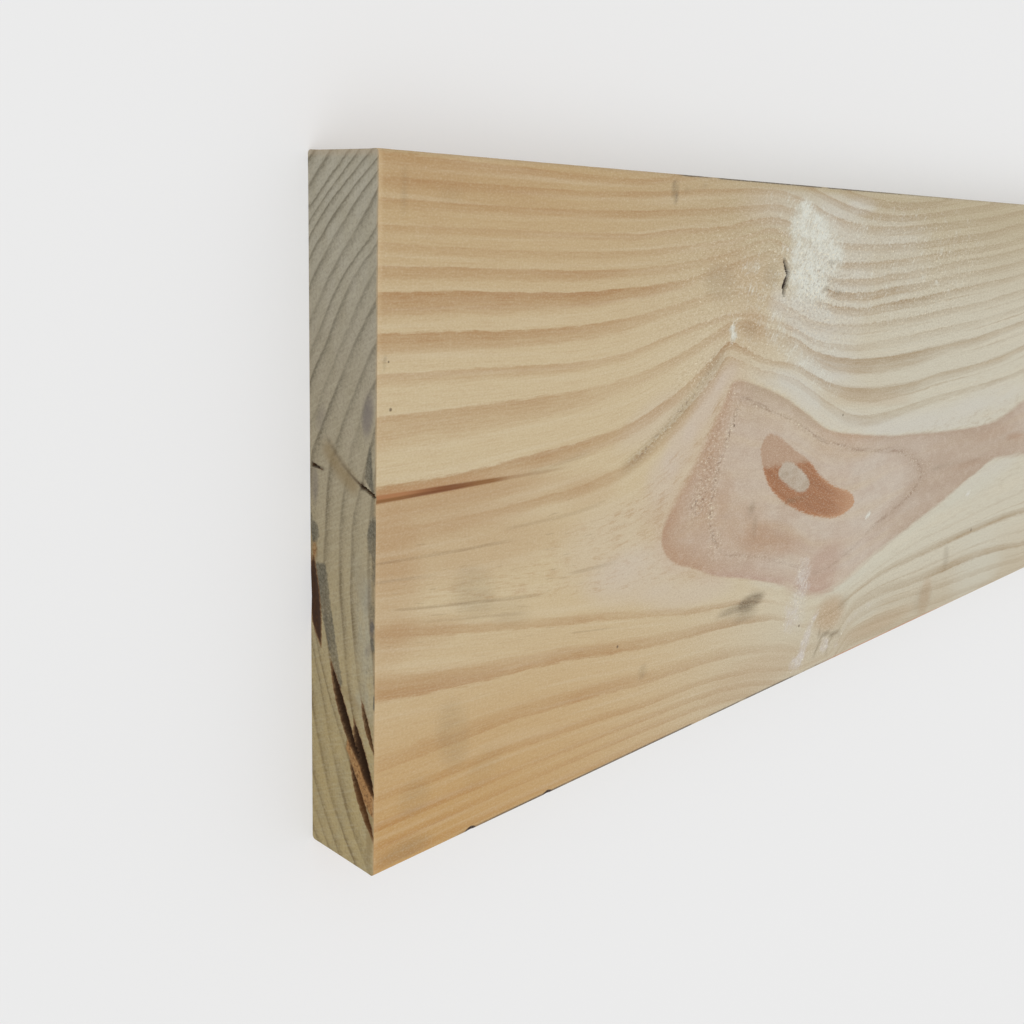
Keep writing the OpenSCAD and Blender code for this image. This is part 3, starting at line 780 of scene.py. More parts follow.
def build_plank():
    """One closed mesh: the long tube, a grid over each end and the strips that zip them together.

    The end loops of the tube are there twice, with the long sides' fields and with the end's. They are welded into one
    loop of points, and the corners of each face keep their own fields."""
    tube, long_fields, ring_y, ring_z = long_skin()
    nu, nr = tube.shape[:2]
    points = [tube.reshape(-1, 3)]
    faces4 = [net(nu, nr, closed=True)]
    faces3 = []
    corner_fields = {name: [long_fields[name].ravel()] for name in FIELDS}
    end_columns = {name: [np.zeros(nu * nr)] for name in END_FIELDS}
    is_end4 = [np.zeros(len(faces4[0]), int)]
    is_end3 = []
    count = nu * nr
    for near in (True, False):
        Y, Z = end_skin(near)
        ny, nz = Y.shape
        depth, marks = end_marks(Y, Z, near)
        saw = SAW_DEPTH * np.sin((Y + 0.45 * Z) * 2.3 + 1.5 * wander(Y.shape, (24, 3), 5))
        sunk = depth + END_SINK + (saw + SAW_ROUGH * rng.uniform(-1, 1, Y.shape))
        X = sunk if near else LENGTH - sunk
        grid = np.stack([X, Y, Z], -1).reshape(-1, 3)
        points += [grid, tube[0 if near else -1]]
        _, edge_marks = end_marks(ring_y, ring_z, near)
        for name in END_FIELDS:
            end_columns[name] += [marks[name].ravel(), edge_marks[name]]
        for name in FIELDS:
            corner_fields[name].append(np.zeros(ny * nz + nr))
        cells = net(ny, nz) + count
        idx = np.arange(ny * nz).reshape(ny, nz) + count
        border = np.concatenate([idx[:-1, -1], idx[-1, :0:-1], idx[:0:-1, 0], idx[0, :-1]])
        flat = grid[border - count]
        border_share = round_share(flat[:, 1], flat[:, 2])
        edge_idx = np.arange(nr) + count + ny * nz
        edge_share = round_share(ring_y, ring_z)
        border_share[0] = 0.0
        begin = int(np.argmin(np.where(edge_share < 0.2, edge_share, 9)))
        edge_idx, edge_share = np.roll(edge_idx, -begin), np.roll(edge_share, -begin)
        edge_share = np.maximum.accumulate(np.where((edge_share < 0.01) & (np.arange(nr) > nr // 2), 1.0, edge_share))
        edge_share[0] = 0.0
        strip = zipper(edge_idx, edge_share, border, border_share)
        if near:
            cells = cells[:, ::-1]
        else:
            strip = strip[:, ::-1]
        faces4.append(cells)
        faces3.append(strip)
        is_end4.append(np.ones(len(cells), int))
        is_end3.append(np.ones(len(strip), int))
        count += ny * nz + nr
    points = np.concatenate(points)
    faces4, faces3 = np.concatenate(faces4), np.concatenate(faces3)
    corners = np.concatenate([faces4.ravel(), faces3.ravel()])
    sizes = np.concatenate([np.full(len(faces4), 4), np.full(len(faces3), 3)])
    material = np.concatenate(is_end4 + is_end3)
    _, first, welded = np.unique(np.round(points, 5), axis=0, return_index=True, return_inverse=True)
    co = points[first] / MM + low_corner / MM
    values = {name: np.concatenate(v)[corners] for name, v in corner_fields.items()}
    values.update({"end_" + name: np.concatenate(v)[corners] for name, v in end_columns.items()})
    mesh = bpy.data.meshes.new("sawn_plank")
    mesh.vertices.add(len(co))
    mesh.vertices.foreach_set("co", co.astype(np.float32).ravel())
    mesh.loops.add(len(corners))
    mesh.loops.foreach_set("vertex_index", welded.reshape(-1)[corners].astype(np.int32))
    mesh.polygons.add(len(sizes))
    mesh.polygons.foreach_set("loop_start", (np.cumsum(sizes) - sizes).astype(np.int32))
    mesh.polygons.foreach_set("material_index", material.astype(np.int32))
    mesh.polygons.foreach_set("use_smooth", np.ones(len(sizes), bool))
    mesh.update(calc_edges=True)
    for name, parts in ATTRIBUTES.items():
        layer = mesh.attributes.new(name, "FLOAT_VECTOR", "CORNER")
        layer.data.foreach_set("vector", np.stack([values[p] for p in parts], 1).astype(np.float32).ravel())
    mesh.set_sharp_from_angle(angle=math.radians(SHARP))
    return placed("sawn_plank", mesh)


# Materials

def tint(r, g, b):
    """Screen colour from 0 to 255 as a linear colour."""
    c = np.array([r, g, b]) / 255.0
    lin = np.where(c <= 0.04045, c / 12.92, ((c + 0.055) / 1.055) ** 2.4)
    return (*lin.tolist(), 1.0)


class Finish:
    """The nodes of a material or a world in short calls: each call adds a node or a few, and gives back an output.

    A value is an output or a number. A colour is an output or three screen values from 0 to 255."""

    def __init__(self, owner):
        owner.use_nodes = True
        self.owner, self.tree = owner, owner.node_tree
        self.tree.nodes.clear()

    def node(self, kind, inputs=(), **settings):
        """One shader node with its settings; each input is linked to an output, or set to a plain value."""
        n = self.tree.nodes.new("ShaderNode" + kind)
        for key, value in settings.items():
            setattr(n, key, value)
        for key, value in dict(inputs).items():
            if isinstance(value, bpy.types.NodeSocket):
                self.tree.links.new(value, n.inputs[key])
            else:
                n.inputs[key].default_value = value
        return n

    def math(self, op, a, b=0.0, c=0.0, clamp=False):
        """One sum of up to three values."""
        return self.node("Math", {0: a, 1: b, 2: c}, operation=op, use_clamp=clamp).outputs[0]

    def add(self, a, b):
        """a plus b."""
        return self.math("ADD", a, b)

    def less(self, a, b):
        """a minus b."""
        return self.math("SUBTRACT", a, b)

    def most(self, a, b):
        """The greater of two values."""
        return self.math("MAXIMUM", a, b)

    def times(self, product, *others, clamp=False):
        """All the values multiplied in turn, each product held from 0 to 1 where clamp says so."""
        for other in others:
            product = self.math("MULTIPLY", product, other, clamp=clamp)
        return product

    def scaled(self, x, factor, plus):
        """x times a factor, plus a value."""
        return self.math("MULTIPLY_ADD", x, factor, plus)

    def sway(self, x, noise, amount, clamp=False):
        """x moved by a noise: plus the amount times what the noise has above a half."""
        return self.math("MULTIPLY_ADD", self.less(noise, 0.5), amount, x, clamp=clamp)

    def line(self, x, a, b, low=0.0, high=1.0, kind="LINEAR"):
        """Straight ramp of x, from low at a to high at b, held at both ends."""
        return self.node("MapRange", {0: x, 1: a, 2: b, 3: low, 4: high}, interpolation_type=kind).outputs[0]

    def step(self, x, a, b, low=0.0, high=1.0):
        """Smooth step of x, from low at a to high at b."""
        return self.line(x, a, b, low, high, "SMOOTHSTEP")

    def between(self, x, a, b, c, d):
        """Smooth window of x, which opens from a to b and closes from c to d."""
        return self.times(self.step(x, a, b), self.step(x, d, c))

    def near(self, x, far, close):
        """1 where x is nearer to 0 than close, 0 where it is further than far, and smooth between them."""
        return self.step(self.math("ABSOLUTE", x), far, close)

    def blend(self, share, a, b):
        """Colour a turned into colour b by a share."""
        a, b = (tint(*c) if isinstance(c, tuple) else c for c in (a, b))
        return self.node("Mix", {0: share, 6: a, 7: b}, data_type="RGBA").outputs[2]

    def coat(self, colour, *layers):
        """A colour with layers laid over it in turn, each a share and a colour."""
        for share, over in layers:
            colour = self.blend(share, colour, over)
        return colour

    def vector(self, x, y, z=0.0):
        """Three values as one vector."""
        return self.node("CombineXYZ", {0: x, 1: y, 2: z}).outputs[0]

    def noise(self, at, detail=2.0, rough=0.5):
        """Smooth noise about a half at a place given in its own cells."""
        return self.node("TexNoise", {"Vector": at, "Scale": 1.0, "Detail": detail, "Roughness": rough}).outputs[0]

    def parts(self, name):
        """The three fields that one attribute of the skin carries."""
        fields = self.node("Attribute", attribute_name=name, attribute_type="GEOMETRY").outputs["Vector"]
        return self.node("SeparateXYZ", {0: fields}).outputs[:3]

    def place(self):
        """Object coordinates in millimetres from the sawn end, the lower edge and the underside."""
        xyz = self.node("SeparateXYZ", {0: self.node("TexCoord").outputs["Object"]}).outputs[:3]
        return [self.scaled(s, MM, -float(low)) for s, low in zip(xyz, low_corner)]

    def finish(self, colour, roughness, height, depth_mm, strength):
        """The dull wood shader with its bump, put on the material."""
        bump = self.node("Bump", {"Height": height, "Distance": depth_mm / MM, "Strength": strength})
        wood = self.node("BsdfPrincipled", {"Base Color": colour, "Roughness": roughness, "Normal": bump.outputs[0],
                                            "Specular IOR Level": WOOD_GLOSS})
        self.node("OutputMaterial", {0: wood.outputs[0]})
        return self.owner

    def in_sight(self):
        """1 for the rays that look, from the camera or by way of gloss or glass, and 0 for those that light."""
        rays = self.node("LightPath").outputs
        return self.math("ADD", self.add(rays["Is Camera Ray"], rays["Is Glossy Ray"]), rays["Is Transmission Ray"],
                         clamp=True)

    def two_ways(self, output, share, a, b):
        """A mix of two shaders by a share, put on the material or the world."""
        mixed = self.node("MixShader", {0: share, 1: a.outputs[0], 2: b.outputs[0]})
        self.node(output, {0: mixed.outputs[0]})
        return self.owner


WOOD_GLOSS = 0.25
# Single dark dots: along, across and radius
DOTS = [(127, 53, 0.9), (5.5, 162, 0.8), (472, 44.5, 1.4), (272.7, 28, 1.0), (294.4, 133.2, 0.9), (199, 137.5, 0.9),
        (4.5, 177, 0.5)]
# Fine dark lines: grain height, start and end along the plank, and how dark
SCRATCHES = [(112.5, -10, 60, 0.28), (106.2, -10, 22, 0.3), (96.5, 8, 78, 0.3), (101.0, 96, 120, 0.26),
             (82.0, 98, 122, 0.28), (116.0, 60, 110, 0.18), (92.0, 20, 70, 0.14)]
# The resin streak: its height at the sawn end and its fall along the plank
STREAK_HEIGHT, STREAK_SLOPE = 133.7, -0.012


def planed_pine():
    """Faces and long edges: pale early wood, late-wood lines along the ring number, the pink heart, knot and marks.

    Shares are steps and ramps of the place in millimetres, of the skin's fields and of noises; each colour is laid
    over the ones before it by its share."""
    m = Finish(bpy.data.materials.new("planed_pine"))
    u, v, z = m.place()
    ring, grain, late = m.parts("growth")
    share, blush, pale = m.parts("bands")
    rim, core, knot = m.parts("figure")
    torn, speck, dirt = m.parts("wear")
    eye, gape, tan = m.parts("holes")
    deep = m.less(z, float(THICK))

    def grained(along, across, seed, detail, rough):
        """Noise that follows the grain, its cells so many millimetres along and across it."""
        return m.noise(m.vector(m.times(u, 1 / along), m.times(grain, 1 / across), seed), detail, rough)

    def spots(along, across, seed, detail, rough):
        """Noise that stays in place, its cells so many millimetres along and across the plank."""
        at = m.vector(m.times(u, 1 / along), m.times(v, 1 / across), m.scaled(deep, 1 / across, seed))
        return m.noise(at, detail, rough)

    # Single fibres, calmer in the plain wood before the heart, broader streaks, and spots from clouds to fine sand
    calm = m.times(m.step(ring, 0.0, -0.4), m.step(rim, 0.5, -1.0), m.between(u, 40.0, 95.0, 200.0, 230.0))
    fibre = m.sway(0.5, grained(14.0, 0.7, 0.0, 3.0, 0.65), m.line(calm, 0.0, 1.0, 1.0, 0.2))
    feather = m.less(grained(9.0, 1.0, 7.0, 3.0, 0.7), 0.5)
    dash = grained(11.0, 0.8, 13.0, 1.0, 0.5)
    streak = grained(110.0, 3.0, 4.0, 2.0, 0.55)
    broad = grained(520.0, 15.0, 61.0, 3.0, 0.55)
    cloud = spots(46.0, 24.0, 9.0, 3.0, 0.55)
    clump = spots(8.0, 5.5, 6.0, 3.0, 0.62)
    ragged = spots(3.2, 0.9, 21.0, 3.0, 0.7)
    grit = spots(2.1, 1.3, 2.0, 2.0, 0.7)
    spark = spots(2.0, 1.0, 41.0, 1.0, 0.5)
    dots = spots(1.5, 1.5, 33.0, 1.0, 0.5)
    sand = spots(0.9, 0.6, 17.0, 1.0, 0.5)

    # Late wood: the ring number with feathered edges, a rise to a plateau and a sharp fall at each whole number
    turn = m.math("FRACT", m.sway(m.scaled(feather, 0.2, ring), grit, m.times(speck, 0.5)))
    begin, full = m.less(1.0, share), m.scaled(share, -0.5, 1.0)
    rise = m.scaled(m.step(turn, begin, full), 0.68, m.times(m.step(turn, full, 1.0), 0.32))
    band = m.times(m.most(rise, m.line(turn, 0.0, 0.05, 1.0, 0.0)), late)
    band = m.times(band, m.line(streak, 0.3, 0.7, 0.7, 1.2), m.line(fibre, 0.35, 0.65, 0.85, 1.15),
                   m.line(cloud, 0.35, 0.65, 0.72, 1.18), clamp=True)

    # Early wood by place: warm at the sawn end and along the edges, cool and pale further along
    right, beyond = m.step(u, 90.0, 380.0), m.step(u, 500.0, 800.0)
    low_left = m.times(m.step(v, 100.0, 0.0), m.step(u, 280.0, 0.0))
    high = m.times(m.step(v, 165.0, 240.0), m.line(beyond, 0.0, 1.0, 0.95, 0.4))
    low_right = m.times(m.step(v, 45.0, 0.0), right, m.line(beyond, 0.0, 1.0, 0.62, 0.35))
    whitish = m.coat(
        m.blend(m.step(u, 190.0, 235.0), (202, 189, 174), (203, 199, 187)),
        (m.times(m.step(v, 85.0, 70.0), m.step(u, 270.0, 300.0)), (202, 199, 183)))
    early = m.coat(
        m.blend(right, (202, 183, 147), (203, 197, 178)),
        (low_left, (188, 149, 93)),
        (high, m.blend(m.step(u, 60.0, 280.0), (186, 158, 115), (183, 169, 138))),
        (low_right, (182, 166, 138)),
        (m.times(beyond, m.line(broad, 0.42, 0.66, 0.0, 0.7)), (194, 168, 128)),
        (m.times(beyond, m.line(broad, 0.5, 0.32, 0.0, 0.5)), (212, 203, 182)),
        (m.times(pale, 0.9), whitish),
        (m.times(m.step(rim, -9.0, -1.5), m.step(u, 215.0, 190.0, 0.0, 0.5)), (197, 177, 156)),
        (m.times(tan, 0.65), (172, 134, 92)))

    # Both together, with fibres, pale streaks, a second finer line in each ring and short dark dashes
    lined = m.blend(right, m.blend(low_left, (164, 122, 76), (172, 124, 66)), (156, 133, 100))
    twin = m.math("FRACT", m.add(m.scaled(ring, 2.0, 0.4), m.times(feather, 0.5)))
    twin = m.times(m.near(m.less(twin, 0.5), 0.14, 0.02), m.step(u, 250.0, 330.0), m.step(ring, 0.1, 0.4),
                   m.most(m.step(v, 60.0, 90.0), m.step(u, 310.0, 350.0)))
    dashes = m.times(m.step(dash, 0.67, 0.75), m.step(v, 128.0, 118.0), m.step(u, 140.0, 90.0))
    wood = m.coat(
        early,
        (m.times(band, 0.95), lined),
        (m.times(m.line(fibre, 0.45, 0.8, 0.0, 0.28), m.line(pale, 0.2, 0.8, 1.0, 0.35)), lined),
        (m.line(streak, 0.5, 0.8, 0.0, 0.25), (218, 206, 180)),
        (m.times(twin, m.line(streak, 0.4, 0.65, 0.0, 0.45)), lined),
        (m.times(dashes, m.step(v, 50.0, 75.0, 0.1, 0.24)), (120, 96, 66)))

    # The heart: pale pink wood inside a softer darker rim, with an inner seam
    fleshy = m.coat(
        m.blend(m.step(u, 180.0, 330.0), (194, 177, 158), (196, 183, 168)),
        (m.line(cloud, 0.42, 0.7, 0.0, 0.4), (188, 164, 144)),
        (m.line(streak, 0.45, 0.7, 0.0, 0.45), (199, 180, 150)))
    flushed = m.coat(
        m.blend(m.step(u, 300.0, 350.0), (177, 144, 116), (174, 152, 132)),
        (m.times(m.step(v, 78.0, 64.0), m.step(u, 350.0, 320.0)), (178, 148, 131)),
        (m.times(m.step(v, 118.0, 138.0), m.step(u, 190.0, 215.0)), (174, 153, 127)))
    seam_here = m.most(m.step(u, 330.0, 350.0), m.times(m.step(v, 96.0, 116.0), m.step(u, 198.0, 206.0)))
    seam = m.times(m.near(m.scaled(feather, 2.6, core), m.step(u, 300.0, 350.0, 1.3, 2.2), 0.2),
                   m.line(fibre, 0.4, 0.6, m.step(u, 290.0, 350.0, 0.05, 0.2), 0.62))
    seam = m.times(seam, m.line(grit, 0.38, 0.6, 1.25, 0.6), clamp=True)
    shade = m.times(m.near(m.scaled(feather, 4.0, core), 8.0, 1.0), m.step(u, 330.0, 372.0))
    body = m.coat(
        m.blend(m.sway(blush, cloud, 0.4, clamp=True), fleshy, flushed),
        (m.times(seam, m.line(seam_here, 0.0, 1.0, 0.42, 1.0)), (134, 108, 88)),
        (m.times(shade, m.line(clump, 0.35, 0.6, 0.25, 0.6)), (168, 145, 125)),
        (m.times(tan, 0.7), (164, 128, 100)),
        (m.line(fibre, 0.45, 0.8, 0.0, 0.3), (162, 134, 114)),
        (m.line(clump, 0.5, 0.75, 0.0, 0.3), (210, 196, 180)),
        (m.line(clump, 0.5, 0.25, 0.0, 0.3), (174, 150, 132)))
    edge = m.sway(m.sway(rim, fibre, 1.6), grit, m.times(speck, 2.0))

    # The knot, ragged along the grain, with its paler cap and its pale eye
    slant = m.noise(m.vector(m.times(m.add(u, v), 1 / 14.0), m.times(m.scaled(u, 0.5, v), 1 / 1.6), 3.0), 3.0, 0.6)
    cap_wood = m.blend(m.line(cloud, 0.35, 0.65), (180, 151, 127), (172, 141, 116))
    knot_wood = m.coat(
        m.blend(m.line(slant, 0.3, 0.7), (165, 115, 79), (148, 98, 64)),
        (m.times(m.step(knot, 2.6, 0.0), m.step(u, 262.0, 288.0, 0.0, 0.45)), (198, 152, 112)),
        (m.times(m.step(knot, 3.0, 0.0), m.step(u, 288.0, 262.0, 0.0, 0.45)), (172, 114, 72)),
        (m.step(u, 284.0, 316.0, 0.0, 0.75), (188, 146, 112)),
        (m.step(m.sway(m.scaled(u, 0.05, v), ragged, 5.0), 125.3, 127.6), cap_wood))
    eye_wood = m.blend(m.line(clump, 0.35, 0.65), (172, 154, 134), (188, 175, 158))
    wood = m.coat(
        wood,
        (m.step(edge, -1.0, 1.0), body),
        (m.step(m.sway(knot, ragged, 4.2), -0.7, 0.8), knot_wood),
        (m.step(m.sway(eye, ragged, 3.0), -0.8, 0.9), eye_wood))

    # Torn grain: a milky cast, white fibres in clumps, light and dark grit, single flakes, pits and glints
    held = m.step(torn, 0.0, 0.1)
    tuft = m.noise(m.vector(m.scaled(v, 0.22, m.times(u, 0.14)), m.scaled(u, 0.75, m.times(v, -0.45)),
                            m.add(deep, 71.0)), 3.0, 0.65)
    raised = m.sway(m.sway(m.sway(torn, tuft, 2.0), clump, 1.7), grit, 0.6)
    milky = m.blend(m.step(v, 75.0, 60.0), (222, 225, 216), (205, 198, 192))
    cast = m.blend(m.step(v, 60.0, 90.0), (190, 179, 170), (198, 197, 183))
    pit = m.times(m.step(m.scaled(speck, 0.14, m.less(1.0, dots)), 0.7, 0.77), m.step(speck, 0.5, 0.85))
    glint = m.times(m.step(m.scaled(speck, 0.1, spark), 0.7, 0.77), m.step(speck, 0.08, 0.4))
    wood = m.coat(
        wood,
        (m.times(m.step(torn, 0.1, 0.75), m.step(v, 60.0, 90.0, 0.28, 0.5)), cast),
        (m.times(m.step(raised, 0.1, 1.2), held, 0.85), milky),
        (m.times(m.line(grit, 0.5, 0.72), speck, 0.42), (226, 217, 198)),
        (m.times(m.line(grit, 0.5, 0.28), speck, 0.42, m.line(torn, 0.15, 0.6, 1.0, 0.25)), (138, 112, 86)),
        (m.times(m.step(m.scaled(torn, 0.12, dots), 0.69, 0.78), held, 0.7), (230, 226, 208)),
        (m.times(pit, 0.55), (122, 97, 80)),
        (m.times(glint, 0.6), (230, 219, 192)))

    # Dirt broken up by the grain, the glow round the resin streak, fine dark lines and single dots
    soil = m.times(dirt, m.line(m.times(m.add(cloud, streak), 0.5), 0.35, 0.6, 0.6, 1.15))
    soil = m.times(soil, m.line(fibre, 0.3, 0.65, 0.7, 1.15), m.line(grit, 0.3, 0.7, 0.8, 1.2), clamp=True)
    off = m.less(v, m.scaled(u, STREAK_SLOPE, STREAK_HEIGHT))
    glow = m.times(m.near(m.less(off, 0.8), 4.0, 0.5), m.step(u, 80.0, 20.0))
    wood = m.coat(wood, (m.times(soil, 0.85), (110, 94, 70)), (m.times(glow, 0.55), (178, 134, 92)))
    for height, start, end, amount in SCRATCHES:
        across = m.near(m.less(grain, height), 0.75, 0.15)
        along = m.between(u, start - 4.0, start + 4.0, end - 8.0, end + 8.0)
        wood = m.blend(m.times(across, along, m.line(fibre, 0.3, 0.6, 0.3 * amount, amount)), wood, (112, 86, 56))
    spot_at = m.vector(u, v, m.times(deep, 2.0))
    for along, across, radius in DOTS:
        far = m.node("VectorMath", {0: spot_at, 1: (along, across, 0.0)}, operation="DISTANCE").outputs["Value"]
        wood = m.blend(m.step(far, radius, 0.4 * radius, 0.0, 0.75), wood, (84, 66, 46))

    # Painted shade along the rounded lower and upper arrises, and the black of the check and the nicks
    arris_shade_noise = m.noise(m.vector(m.times(u, 1 / 18.0), m.times(v, 0.3), 51.0), 3.0, 0.65)
    low_edge = m.times(m.step(v, 2.0, 1.0), m.between(u, 20.0, 70.0, 280.0, 320.0))
    high_edge = m.times(m.step(v, WIDTH - 0.8, WIDTH - 0.4), m.between(u, 146.0, 152.0, 260.0, 420.0))
    arris_shade = m.times(m.most(low_edge, high_edge), m.step(z, 33.4, 34.1), m.step(arris_shade_noise, 0.34, 0.48), 0.85)
    bared = m.times(m.step(v, 1.8, 0.7), m.step(z, 33.0, 34.0), m.between(u, 290.0, 320.0, 400.0, 480.0))
    wood = m.coat(
        wood,
        (bared, (190, 134, 104)),
        (arris_shade, (70, 64, 58)),
        (m.times(m.step(u, 2.4, 0.6), m.step(v, 150.0, 220.0, 0.1, 0.4)), (208, 182, 142)),
        # painted shade in the check's crack and where the sawn end's pockets meet the underside; the nicks painted
        # black
        (m.step(gape, 0.12, 0.55), (46, 27, 20)))

    # Fine light and dark all over, as the planer leaves it, and the resin streak that runs in from the sawn end
    crisp = m.step(u, 60.0, 220.0, 0.55, 1.0)
    resin = m.times(m.step(m.less(m.line(u, 0.0, 70.0, 1.3, 0.45), m.math("ABSOLUTE", off)), -0.5, 0.3),
                    m.most(m.step(u, 68.0, 50.0), m.step(u, 104.0, 66.0, 0.0, 0.4)),
                    m.line(fibre, 0.3, 0.6, 0.8, 0.96))
    resinous = m.coat(
        m.blend(m.between(u, 5.0, 24.0, 32.0, 48.0), (133, 90, 48), (111, 60, 25)),
        (m.times(m.step(u, 34.0, 6.0), m.step(off, -0.5, 0.3)), (166, 114, 74)))
    wood = m.coat(
        wood,
        (m.times(crisp, m.line(grit, 0.5, 0.8, 0.0, 0.16)), (222, 212, 190)),
        (m.times(crisp, m.line(grit, 0.5, 0.2, 0.0, 0.14)), (140, 116, 86)),
        (m.times(crisp, m.line(sand, 0.5, 0.75, 0.0, 0.24)), (226, 218, 198)),
        (m.times(crisp, m.line(sand, 0.5, 0.25, 0.0, 0.2)), (132, 108, 82)),
        (resin, resinous))
    relief = m.add(m.times(fibre, 0.5), m.times(grit, m.add(speck, 0.35)))
    return m.finish(wood, m.line(fibre, 0.3, 0.7, 0.74, 0.6), m.less(relief, m.times(pit, 0.8)), 0.2, 0.5)


def sawn_end_grain():
    """Ends: greyed early wood between dark ring lines, open pockets darkened by pitch and painted shade, tan and grey
    stains, the painted shade of the check, and saw marks.

    Shares and layers work as on the planed faces; the late wood rises over each ring and falls at its end."""
    m = Finish(bpy.data.materials.new("sawn_end_grain"))
    u, v, z = m.place()
    ring, opened, tan = m.parts("ends")
    grey, check_shade, mauve = m.parts("stains")
    grit = m.noise(m.vector(m.times(v, 1 / 1.1), m.times(z, 1 / 1.1), m.scaled(u, 1 / 1.6, 2.0)), 3.0, 0.7)
    saw = m.noise(m.vector(m.times(m.scaled(z, -0.5, v), 1 / 0.8), m.times(z, 1 / 9.0), 5.0), 2.0, 0.5)
    cloud = m.noise(m.vector(m.times(v, 1 / 16.0), m.times(z, 1 / 7.0), 3.0), 3.0, 0.55)
    swell = m.noise(m.vector(m.times(v, 1 / 26.0), m.times(ring, 0.9), 1.0), 1.0)

    # Early and late wood, with saw marks and grit
    turn = m.math("FRACT", m.sway(m.sway(ring, grit, 0.2), cloud, 0.3))
    rise = m.scaled(m.step(turn, 0.45, 0.9), 0.5, m.times(m.step(turn, 0.78, 0.97), 0.5))
    band = m.most(rise, m.line(turn, 0.0, 0.1, 1.0, 0.0))
    strength = m.most(m.line(swell, 0.35, 0.65, 0.35, 0.9), m.step(v, 200.0, 226.0, 0.0, 0.8))
    up = m.step(v, 30.0, 190.0)
    cool = m.times(m.step(z, 20.0, 27.0), m.between(v, 52.0, 66.0, 100.0, 120.0), m.line(cloud, 0.35, 0.6, 0.1, 0.5))
    wood = m.coat(
        m.blend(up, (165, 147, 104), m.blend(m.step(v, 170.0, 225.0), (157, 148, 129), (164, 158, 142))),
        (cool, (166, 166, 154)),
        (m.line(cloud, 0.4, 0.75, 0.0, 0.45), (144, 135, 110)),
        (m.times(band, strength), m.blend(up, (114, 96, 62), (108, 101, 84))),
        (m.line(saw, 0.45, 0.75, 0.0, 0.2), (194, 186, 164)),
        (m.line(grit, 0.5, 0.8, 0.0, 0.45), (108, 98, 78)),
        (m.line(grit, 0.5, 0.2, 0.0, 0.25), (190, 180, 152)))

    # Stains with ragged edges
    ragged = m.sway(m.times(m.less(cloud, 0.5), 0.8), grit, 1.2)
    browned = m.times(m.step(m.add(tan, ragged), 0.3, 1.05), m.step(tan, 0.45, 0.7), 0.9)
    greyed = m.times(m.step(m.scaled(ragged, 0.6, grey), 0.15, 0.75), m.step(grey, 0.0, 0.2),
                     m.line(grey, 0.5, 1.0, 0.7, 0.95), m.line(cloud, 0.35, 0.6, 0.65, 1.05))
    wood = m.coat(
        wood,
        (m.step(tan, 0.0, 0.5, 0.0, 0.62), (132, 112, 76)),
        (browned, m.blend(m.line(grit, 0.42, 0.68), (166, 122, 74), (104, 72, 40))),
        (greyed, m.blend(m.line(grit, 0.36, 0.66), (112, 107, 93), (72, 68, 57))),
        (m.times(m.times(mauve, 0.7), m.line(cloud, 0.3, 0.65, 0.75, 1.15), clamp=True), (108, 100, 98)))

    # Pockets with a rusty rim and dark with pitch and painted shade, the painted shade in the crack of the check,
    # and the paler edges of the end
    pitch_and_shade = m.coat(
        m.blend(m.line(grit, 0.35, 0.7), (52, 33, 19), (70, 46, 26)),
        (m.step(v, 36.0, 26.0, 0.0, 0.8), (104, 68, 36)),
        (m.times(m.step(z, 29.0, 31.0), m.step(v, 45.0, 48.0), 0.7), (108, 76, 44)))
    lip = m.times(m.step(z, THICK - 1.3, THICK - 0.3), m.line(cloud, 0.35, 0.6, 0.35, 0.9),
                  m.line(grey, 0.2, 0.7, 1.0, 0.1), 0.7)
    wood = m.coat(
        wood,
        (m.step(m.sway(opened, grit, 0.5), 0.15, 0.5, 0.0, 0.8), (112, 76, 42)),
        (m.step(m.sway(opened, grit, 0.7), 0.4, 0.9), pitch_and_shade),
        # painted shade in the crack of the check
        (m.times(check_shade, 0.85), (66, 48, 30)),
        (lip, (186, 160, 122)),
        (m.step(v, WIDTH - 3.0, WIDTH - 0.5, 0.0, 0.4), (178, 158, 132)))
    relief = m.add(m.times(grit, 0.6), m.times(saw, 0.5))
    return m.finish(wood, m.line(grit, 0.3, 0.7, 0.75, 0.9), relief, 0.25, 0.6)


plank = build_plank()
plank.data.materials.append(planed_pine())
plank.data.materials.append(sawn_end_grain())
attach(plank, "root")
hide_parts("plank")

# Floor, light and camera

FLOOR_HALF = 30.0
PAPER, WHITE = tint(237, 237, 237), (1.0, 1.0, 1.0, 1.0)
# Share of the floor that shows its plain colour, without light or shadow
PAPER_SHARE = 0.4
SOFT_LIGHT, LAMP_ENERGY = 0.72, 0.95
LAMP_BREADTH, LAMP_TURN = 60.0, (12.0, -30.0, 0.0)
SENSOR, LENS = 36.0, 40.537
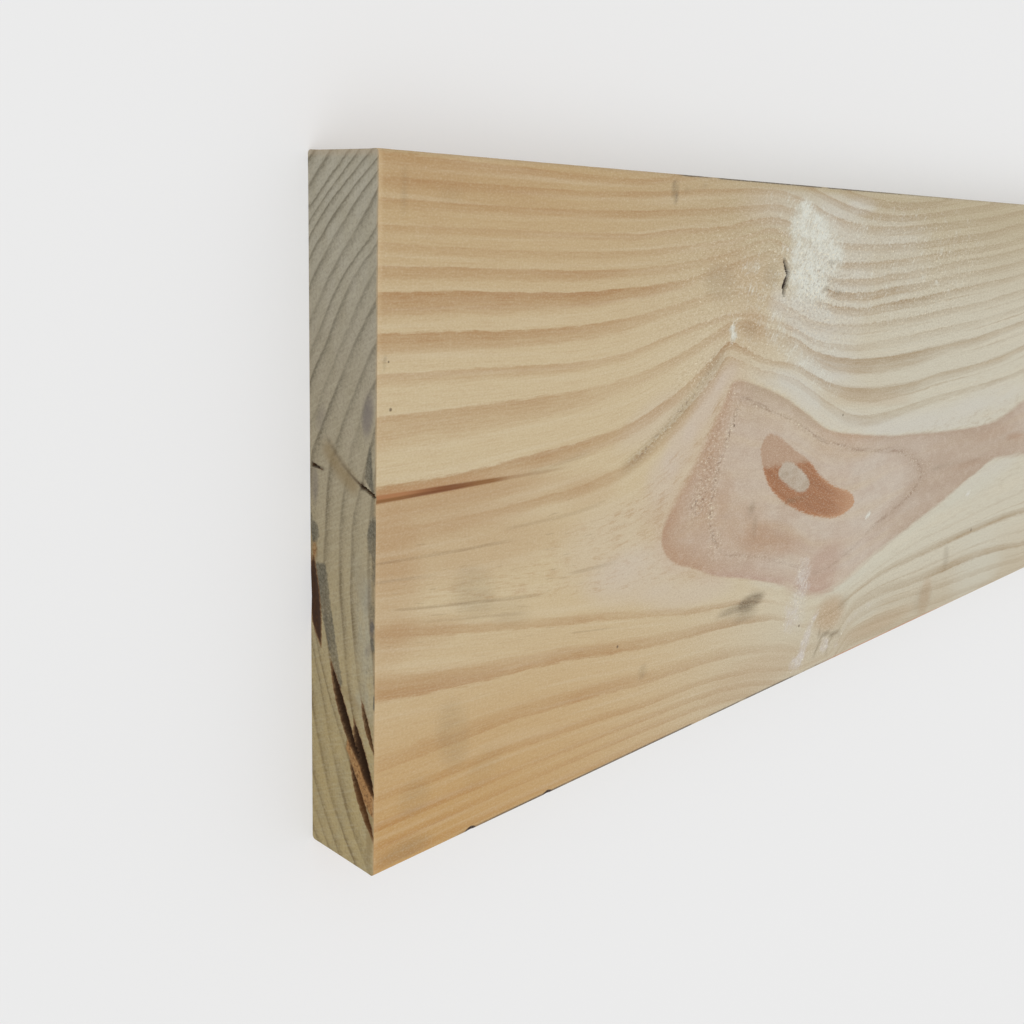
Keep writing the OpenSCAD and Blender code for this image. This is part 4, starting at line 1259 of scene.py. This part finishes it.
# The camera's place from the plank's low corner in millimetres, and its three directions
STAND = (-224.18, 221.49, 311.0)
RIGHTWARD, UPWARD, AHEAD = (0.70052, 0.03632, 0.71270), (0.15163, 0.96832, -0.19838), (0.69733, -0.24704, -0.67283)


def pale_floor():
    """Plain paper that takes light and shadow, mixed with a share of its own colour for the rays that look at it."""
    m = Finish(bpy.data.materials.new("pale_floor"))
    sheet, shown = m.node("BsdfDiffuse", {"Color": PAPER}), m.node("Emission", {"Color": PAPER, "Strength": 1.0})
    return m.two_ways("OutputMaterial", m.times(m.in_sight(), PAPER_SHARE), sheet, shown)


def studio_light():
    """Even white light from all round, which looks like the paper to the rays that look at it."""
    m = Finish(bpy.data.worlds.new("studio_light"))
    light = m.node("Background", {"Color": WHITE, "Strength": SOFT_LIGHT})
    shown = m.node("Background", {"Color": PAPER, "Strength": 1.0})
    return m.two_ways("OutputWorld", m.in_sight(), light, shown)


floor_mesh = bpy.data.meshes.new("studio_floor")
floor_corners = [(-FLOOR_HALF, -FLOOR_HALF, 0), (FLOOR_HALF, -FLOOR_HALF, 0), (FLOOR_HALF, FLOOR_HALF, 0),
                 (-FLOOR_HALF, FLOOR_HALF, 0)]
floor_mesh.from_pydata(floor_corners, [], [(0, 1, 2, 3)])
floor_mesh.materials.append(pale_floor())
floor = placed("studio_floor", floor_mesh)

bpy.context.scene.world = studio_light()
lamp = placed("soft_lamp", bpy.data.lights.new("soft_lamp", "SUN"))
lamp.data.energy, lamp.data.angle = LAMP_ENERGY, math.radians(LAMP_BREADTH)
lamp.rotation_euler = [math.radians(turn) for turn in LAMP_TURN]

cam = placed("camera", bpy.data.cameras.new("camera"))
cam.data.sensor_width, cam.data.lens = SENSOR, LENS
cam.data.clip_start, cam.data.clip_end = 0.01, 100.0
stand = np.array(STAND) / MM + low_corner / MM
cam.matrix_world = Matrix([(r, t, -a, s) for r, t, a, s in zip(RIGHTWARD, UPWARD, AHEAD, stand.tolist())]
                          + [(0, 0, 0, 1)])
bpy.context.scene.camera = cam
bpy.context.scene.view_settings.view_transform = "Standard"
